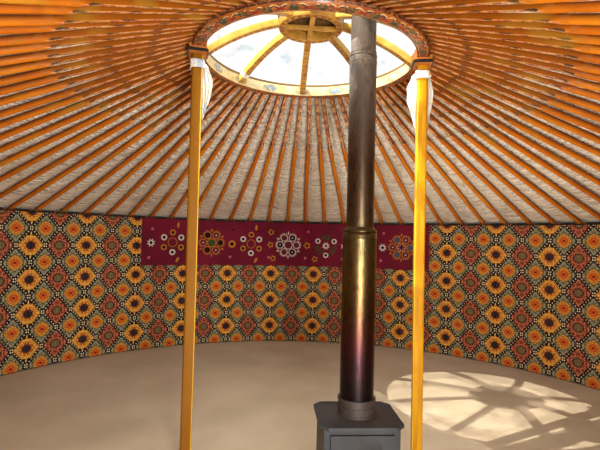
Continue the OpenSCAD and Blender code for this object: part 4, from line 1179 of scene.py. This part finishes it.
# Flue
# Three lengths of brushed steel pipe, each pushed into the wider one below it. Years of heat have
# turned the steel bronze, with purple and orange bands above the stove.
FLUE_X, FLUE_Y = 0.236, -0.460
PIPE_LOW_R, PIPE_MIDDLE_R, PIPE_TOP_R = 0.085, 0.069, 0.064
HEAT_TOP = 2.5
flue_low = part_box("flue_lower")[0].z
JOINT_1, JOINT_2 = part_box("flue_lower")[1].z, FLOOR_Z + 2.225
flue_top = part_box("flue_upper")[1].z
HEAT = [(0.56, (34, 32, 38)), (0.66, (56, 46, 48)), (0.78, (76, 48, 56)), (0.90, (100, 62, 52)),
        (1.02, (102, 76, 48)), (1.20, (124, 104, 60)), (1.38, (114, 102, 68)), (1.5, (98, 84, 68)),
        (1.85, (88, 72, 60)), (2.08, (96, 84, 74)), (2.3, (120, 108, 96))]

flue_finish, shader = finish_of("heat_tinted_steel", rough=0.3)
place = object_place(shader)
x, y, z = axes(place)
spin = (y - FLUE_Y).op("ARCTAN2", x - FLUE_X)
brush = noise(vector(spin * 1.5, z * 160.0), 1.0, 4.0, 0.6)
drift = noise(vector(spin * 0.7, z * 3.0), 1.6, 4.0)
streak = noise(vector(spin * 9.0, z * 1.3), 1.0, 4.0)
soot = noise(place, 18.0, 5.0)
scratch = noise(vector(spin * 22.0, z * 7.0), 1.0, 5.0, 0.7)
mottle = noise(vector(x * 30.0, y * 30.0, z * 14.0), 1.0, 6.0, 0.7)
dust = z.ramp(1.75, 2.15)
level = z + drift * 0.16 - 0.08 + streak * 0.08 - 0.04
tint = new_node(level.tree, "ShaderNodeValToRGB", {0: level / HEAT_TOP})
while len(tint.color_ramp.elements) < len(HEAT):
    tint.color_ramp.elements.new(0.5)
for stop, (height, colour) in zip(tint.color_ramp.elements, HEAT):
    stop.position = height / HEAT_TOP
    stop.color = (*paint(*colour), 1)
dark = (soot.ramp(0.5, 0.75) * 0.5).upper(streak.ramp(0.5, 0.7) * 0.35).upper(scratch.ramp(0.48, 0.60) * 0.5)
finish_with(shader, mix(dark.upper(mottle.ramp(0.50, 0.62) * 0.6), Field(tint.outputs[0]), paint(40, 34, 30)),
            brush * 0.6 + soot * 0.5 + mottle * 0.8, 0.0012, Metallic=1.0 - dust * (0.55 + soot * 0.3),
            Roughness=brush * 0.14 + mottle * 0.34 + scratch * 0.16 + dust * 0.15 + 0.03)


def pipe_outline(radius, low, high, bead):
    """Outline of a thin pipe with a small rolled bead at a height and soft open ends."""
    height = np.unique(np.concatenate([np.linspace(low, high, 40), bead + np.linspace(-0.008, 0.008, 9)]))
    height = height[(height >= low) & (height <= high)]
    outer = spread(radius + 0.0022 * np.exp(-((height - bead) / 0.0035) ** 2), height)
    inner = np.array([(radius - 0.003, high), (radius - 0.003, low)])
    return np.concatenate([outer, inner, outer[:1]])


for label, radius, low, high, bead, stands_for in (
        ("lower", PIPE_LOW_R, flue_low, JOINT_1, JOINT_1 - 0.03, ["flue_lower"]),
        ("middle", PIPE_MIDDLE_R, JOINT_1, JOINT_2, JOINT_2 - 0.025, ["flue_upper"]),
        ("top", PIPE_TOP_R, JOINT_2, flue_top, JOINT_2 + 0.24, [])):
    pipe = revolve(f"flue_pipe_{label}", pipe_outline(radius, low, high, bead), 96, (FLUE_X, FLUE_Y))
    fit(pipe, flue_finish, "flue_steel", *stands_for)
for label, wide, thin, height, stands_for in (("lower", PIPE_LOW_R, PIPE_MIDDLE_R, JOINT_1, ["flue_bands"]),
                                              ("upper", PIPE_MIDDLE_R, PIPE_TOP_R, JOINT_2, [])):
    outline = [(thin, height + 0.0005), (wide + 0.001, height + 0.0005), (wide + 0.0022, height + 0.004),
               (wide + 0.001, height + 0.008), (wide - 0.003, height + 0.010), (wide - 0.002, height + 0.013),
               (thin + 0.4 * (wide - thin), height + 0.017), (thin + 0.004, height + 0.021),
               (thin + 0.0035, height + 0.025), (thin + 0.0005, height + 0.026), (thin, height + 0.0005)]
    ferrule = revolve(f"flue_ferrule_{label}", outline, 96, (FLUE_X, FLUE_Y))
    fit(ferrule, flue_finish, "iron", *stands_for)
cap_finish, shader = finish_of("zinc_sheet", rough=0.45, metal=1.0)
cloud = noise(object_place(shader), 12.0, 4.0)
colour = mix(cloud.ramp(0.3, 0.7), paint(120, 122, 122), paint(160, 160, 156))
finish_with(shader, colour, Roughness=cloud * 0.3 + 0.3)
soften(dress("flue_cap", cap_finish), 0.0008, 1)
dress("flue_flashing", cap_finish)


# Stove
# A small welded stove of black iron plate on short legs, with a door and a thick top plate that
# the flue stands on. Heat has left the top dull and a little brown round the flue.
iron_finish, shader = finish_of("stove_iron", rough=0.6, metal=0.35, specular=0.5)
place = object_place(shader)
x, y, _ = axes(place)
grit, cloud = noise(place, 160.0), noise(place, 7.0, 4.0)
near = ((x - FLUE_X) * (x - FLUE_X) + (y - FLUE_Y) * (y - FLUE_Y)).power(0.5).ramp(0.20, 0.09)
colour = coats(mix(cloud.ramp(0.35, 0.7), paint(44, 48, 52), paint(66, 70, 74)),
               (near * 0.5, paint(84, 66, 54)), (grit.ramp(0.55, 0.8) * 0.4, paint(100, 96, 92)))
finish_with(shader, colour, grit, 0.0009, Roughness=cloud * 0.3 + 0.4)
for node in ("stove_body", "stove_top", "stove_door"):
    soften(dress(node, iron_finish), 0.003, 2)
soften(dress("flue_collar", iron_finish), 0.0015, 2)


# Wall and roof covers
# Thick felt under white canvas. Each panel is sewn and hemmed at its edges; the wall cover is
# held by three woven bands and hangs in soft upright folds between them.
COVER_IN_R, COVER_OUT_R, EAVE_R, STRIPS = 3.0900, 3.1220, 3.085, 32
canvas_finish, shader = finish_of("white_canvas", rough=0.85, sheen=0.15, specular=0.25)
place = object_place(shader)
reach, spin, z = round_axes(place)
fold = noise(vector(spin * 9.0, z * 0.8), 1.0, 4.0, 0.6)
stain = noise(place, 1.7, 4.0)
# Seams run up the wall and between the straps of the roof, with a row of stitches at each side and
# along the hems; rain has left streaks under the eaves
roof = reach.below(EAVE_R).upper(z.above(FOOT_Z))
strip = (spin * (STRIPS / math.tau) + roof * 0.5 + 0.25).cell().size() * reach * (math.tau / STRIPS)
stitch = (z * 300.0 + reach * 160.0).sin().above(0.0)
rows = strip.near(0.016, 0.0016).upper(z.near(0.112, 0.0018)).upper(reach.near(3.100, 0.0018) * roof)
streaks = noise(vector(spin * 40.0, z * 0.7), 1.0, 4.0, 0.6).ramp(0.50, 0.72)
colour = coats(mix(stain.ramp(0.4, 0.75), paint(226, 222, 210), paint(204, 197, 180)),
               (z.ramp(0.42, 0.06) * stain, paint(160, 146, 122)),
               (fold.ramp(0.5, 0.7) * 0.15, paint(180, 172, 156)),
               (streaks * z.ramp(0.9, 1.58) * 0.45, paint(158, 148, 128)),
               (strip.below(0.0022) * 0.7, paint(128, 118, 98)), (rows * stitch * 0.5, paint(120, 108, 88)),
               (reach.below(COVER_IN_R + 0.004) * z.below(1.605), paint(70, 62, 54)))
finish_with(shader, colour, noise(place, 380.0, 1.0) * 0.3 + fold * 9.0 - strip.ramp(0.018, 0.0) * 1.2, 0.0018)


def panel(name, first, last, cols, loop):
    """A thick panel bent round the tent: loop gives the closed outline of radius and height at
    each turn, and the two end faces are closed."""
    turn = np.linspace(first, last, cols)[:, None]
    reach, height = loop(turn)
    return surface(name, closed(round_points(reach, turn, height))[:, ::-1])


def wall_loop(turn):
    """Inner face plain; outer face with folds that the bands pinch; both edges rolled."""
    rows = np.linspace(0, 1, 44)[None, :]
    bottom = 0.0605
    top_out, top_in = (cone_z(radius, POLE_D / 2) - 0.001 for radius in (COVER_OUT_R, COVER_IN_R))
    height = bottom + 0.004 + (top_out - bottom - 0.008) * rows
    bands = sum(np.exp(-((height - b) / 0.06) ** 2) for b in (0.42, 0.92, 1.42))
    fold = ripple(turn * 3.1, height * 0.35, seed=31, waves=10, length=0.38)
    fine = ripple(turn * 3.1, height * 0.6, seed=32, waves=8, length=0.11)
    out = COVER_OUT_R - 0.0035 + (0.0075 * fold + 0.002 * fine) * (1 - 0.75 * np.clip(bands, 0, 1))
    out = np.minimum(out, COVER_OUT_R + 0.006) - 0.004 * (1 - smooth(np.minimum(rows, 1 - rows) * 60))
    one = np.ones_like(turn)
    inner_z = np.linspace(top_in, bottom, 8)[None, :]
    reach = np.concatenate([out, COVER_IN_R * one + 0 * inner_z, out[:, :1]], 1)
    return reach, np.concatenate([height + 0 * turn, one * inner_z, height[:, :1] + 0 * turn], 1)


SEAM = 0.0004
door_gap = math.asin(0.4306 / COVER_IN_R)
for part in range(6):
    first = door_turn + part * math.pi / 3 + (door_gap if part == 0 else SEAM)
    last = door_turn + (part + 1) * math.pi / 3 - (door_gap if part == 5 else SEAM)
    cover = panel(f"wall_canvas_{part + 1}", first, last, 150, wall_loop)
    fit(cover, canvas_finish, "canvas", f"wall_cover_{part + 1}")

ROOF_LOW, ROOF_T = POLE_D / 2 + 0.0046, 0.034
ROOF_EDGE_R = COVER_OUT_R + 0.028


def roof_loop(turn):
    """Under face on the lining; upper face with long soft hollows and a rolled hem at both edges."""
    rows = np.linspace(0, 1, 60)[None, :]
    reach = CROWN_R + 0.006 + (ROOF_EDGE_R - 0.004 - CROWN_R - 0.006) * rows
    spread = reach * turn
    hollow = 0.003 * ripple(spread, reach, seed=41, waves=10, length=0.5)
    tuck = 0.002 * ripple(turn * 30, reach * 0.5, seed=42, waves=9, length=1.2)
    hem = 0.0035 * smooth((rows - 0.965) / 0.006) * smooth((1.01 - rows) / 0.01)
    end = 0.005 * (1 - smooth(np.minimum(rows, 1 - rows) * 90))
    top = cone_z(reach, ROOF_LOW + ROOF_T - 0.004) + hollow + tuck + hem - end
    under_r = np.linspace(ROOF_EDGE_R - 0.006, CROWN_R + 0.003, 12)[None, :]
    under = cone_z(under_r, ROOF_LOW)
    one = np.ones_like(turn)
    return (np.concatenate([reach * one, under_r * one, reach[:, :1] * one], 1),
            np.concatenate([top, under * one, top[:, :1]], 1))


for part in range(4):
    cover = panel(f"roof_canvas_{part + 1}", part * math.pi / 2 + SEAM, (part + 1) * math.pi / 2 - SEAM, 181,
                  lambda turn: tuple(side[:, ::-1] for side in roof_loop(turn)))
    fit(cover, canvas_finish, "canvas", f"roof_cover_{part + 1}")

band_finish, shader = finish_of("woven_band", rough=0.9, sheen=0.2, specular=0.2)
_, spin, z = round_axes(object_place(shader))
twill = ((spin * 3.12 + z) * 900.0).sin()
edge = (((z - 0.39) / 0.5).part() * 0.5 - 0.03).size()
colour = coats(mix(twill * 0.3 + 0.5, paint(188, 160, 110), paint(150, 118, 72)),
               (edge.near(0.019, 0.004), paint(140, 40, 34)), (edge.below(0.004), paint(52, 60, 88)))
finish_with(shader, colour, twill, 0.0008)
soften(dress("girth_bands", band_finish), 0.0015, 2)

# The straps over the roof are plain webbing of the same yarn with a dark line along each edge
STRAPS = 16
strap_finish, shader = finish_of("roof_webbing", rough=0.9, sheen=0.2, specular=0.2)
reach, spin, z = round_axes(object_place(shader))
wide = (spin * (STRAPS / math.tau)).cell().size() * (math.tau / STRAPS) * reach
rib = (reach * 1100.0 + z * 700.0).sin()
colour = coats(mix(rib * 0.3 + 0.5, paint(196, 176, 134), paint(160, 134, 92)),
               (wide.near(0.0135, 0.0018), paint(96, 60, 44)))
finish_with(shader, colour, rib, 0.0008)
dress("roof_straps", strap_finish)


# Doorway
# A stout frame and a pair of panelled leaves folded back against it, all painted orange, with blue
# panels, yellow lines along the edges and iron hinges.
LEAF_MIDDLE = (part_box("door_leaf_left")[0].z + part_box("door_leaf_left")[1].z) / 2
door_finish, shader = finish_of("door_paint", rough=0.5, coat=0.15, specular=0.4)
place = object_place(shader)
x, y, z = axes(place)
worn = use(wear, Place=vector(z, x, y), Wear=0.45)
blotch = noise(place, 6.0)
leaf = y.below(-3.127)
leaf_x, leaf_z = (x.size() - 0.545).size(), ((z - LEAF_MIDDLE).size() - 0.318).size()
line = x.size().near(0.394, 0.004).upper(x.size().near(0.424, 0.003))
panel_edge = (0.109 - leaf_x).lower(0.283 - leaf_z)
knot = leaf_x / 0.074 + leaf_z / 0.15
curl = ((leaf_x - 0.060).power(2.0) + (leaf_z - 0.215).power(2.0)).power(0.5)
gilt = panel_edge.near(0.014, 0.0030).upper(knot.near(1.0, 0.05)).upper(knot.near(0.70, 0.04))
gilt = gilt.upper(curl.near(0.020, 0.0035)).upper(knot.near(1.34, 0.03) * leaf_x.below(0.05))
in_panel = leaf * panel_edge.above(0.0)
colour = coats(mix(blotch.ramp(0.35, 0.65), paint(206, 98, 28), paint(182, 80, 22)),
               (mix(leaf, line, leaf_x.near(0.166, 0.0028)), paint(226, 176, 70)),
               (in_panel, mix(blotch.ramp(0.3, 0.7), paint(28, 78, 108), paint(44, 102, 118))),
               (in_panel * gilt, paint(232, 184, 84)), (leaf * knot.below(0.40), paint(188, 52, 36)),
               (worn["Chips"] * 0.6, paint(150, 104, 66)),
               (z.ramp(0.4, 0.1) * blotch * 0.8, paint(110, 76, 50)))
finish_with(shader, colour, worn["Height"], 0.002)
for node in ("door_frame", "door_leaf_left", "door_leaf_right"):
    soften(dress(node, door_finish), 0.004, 2)
soften(dress("door_hinges", iron_finish), 0.0015, 1)
dress("door_pulls", iron_finish)
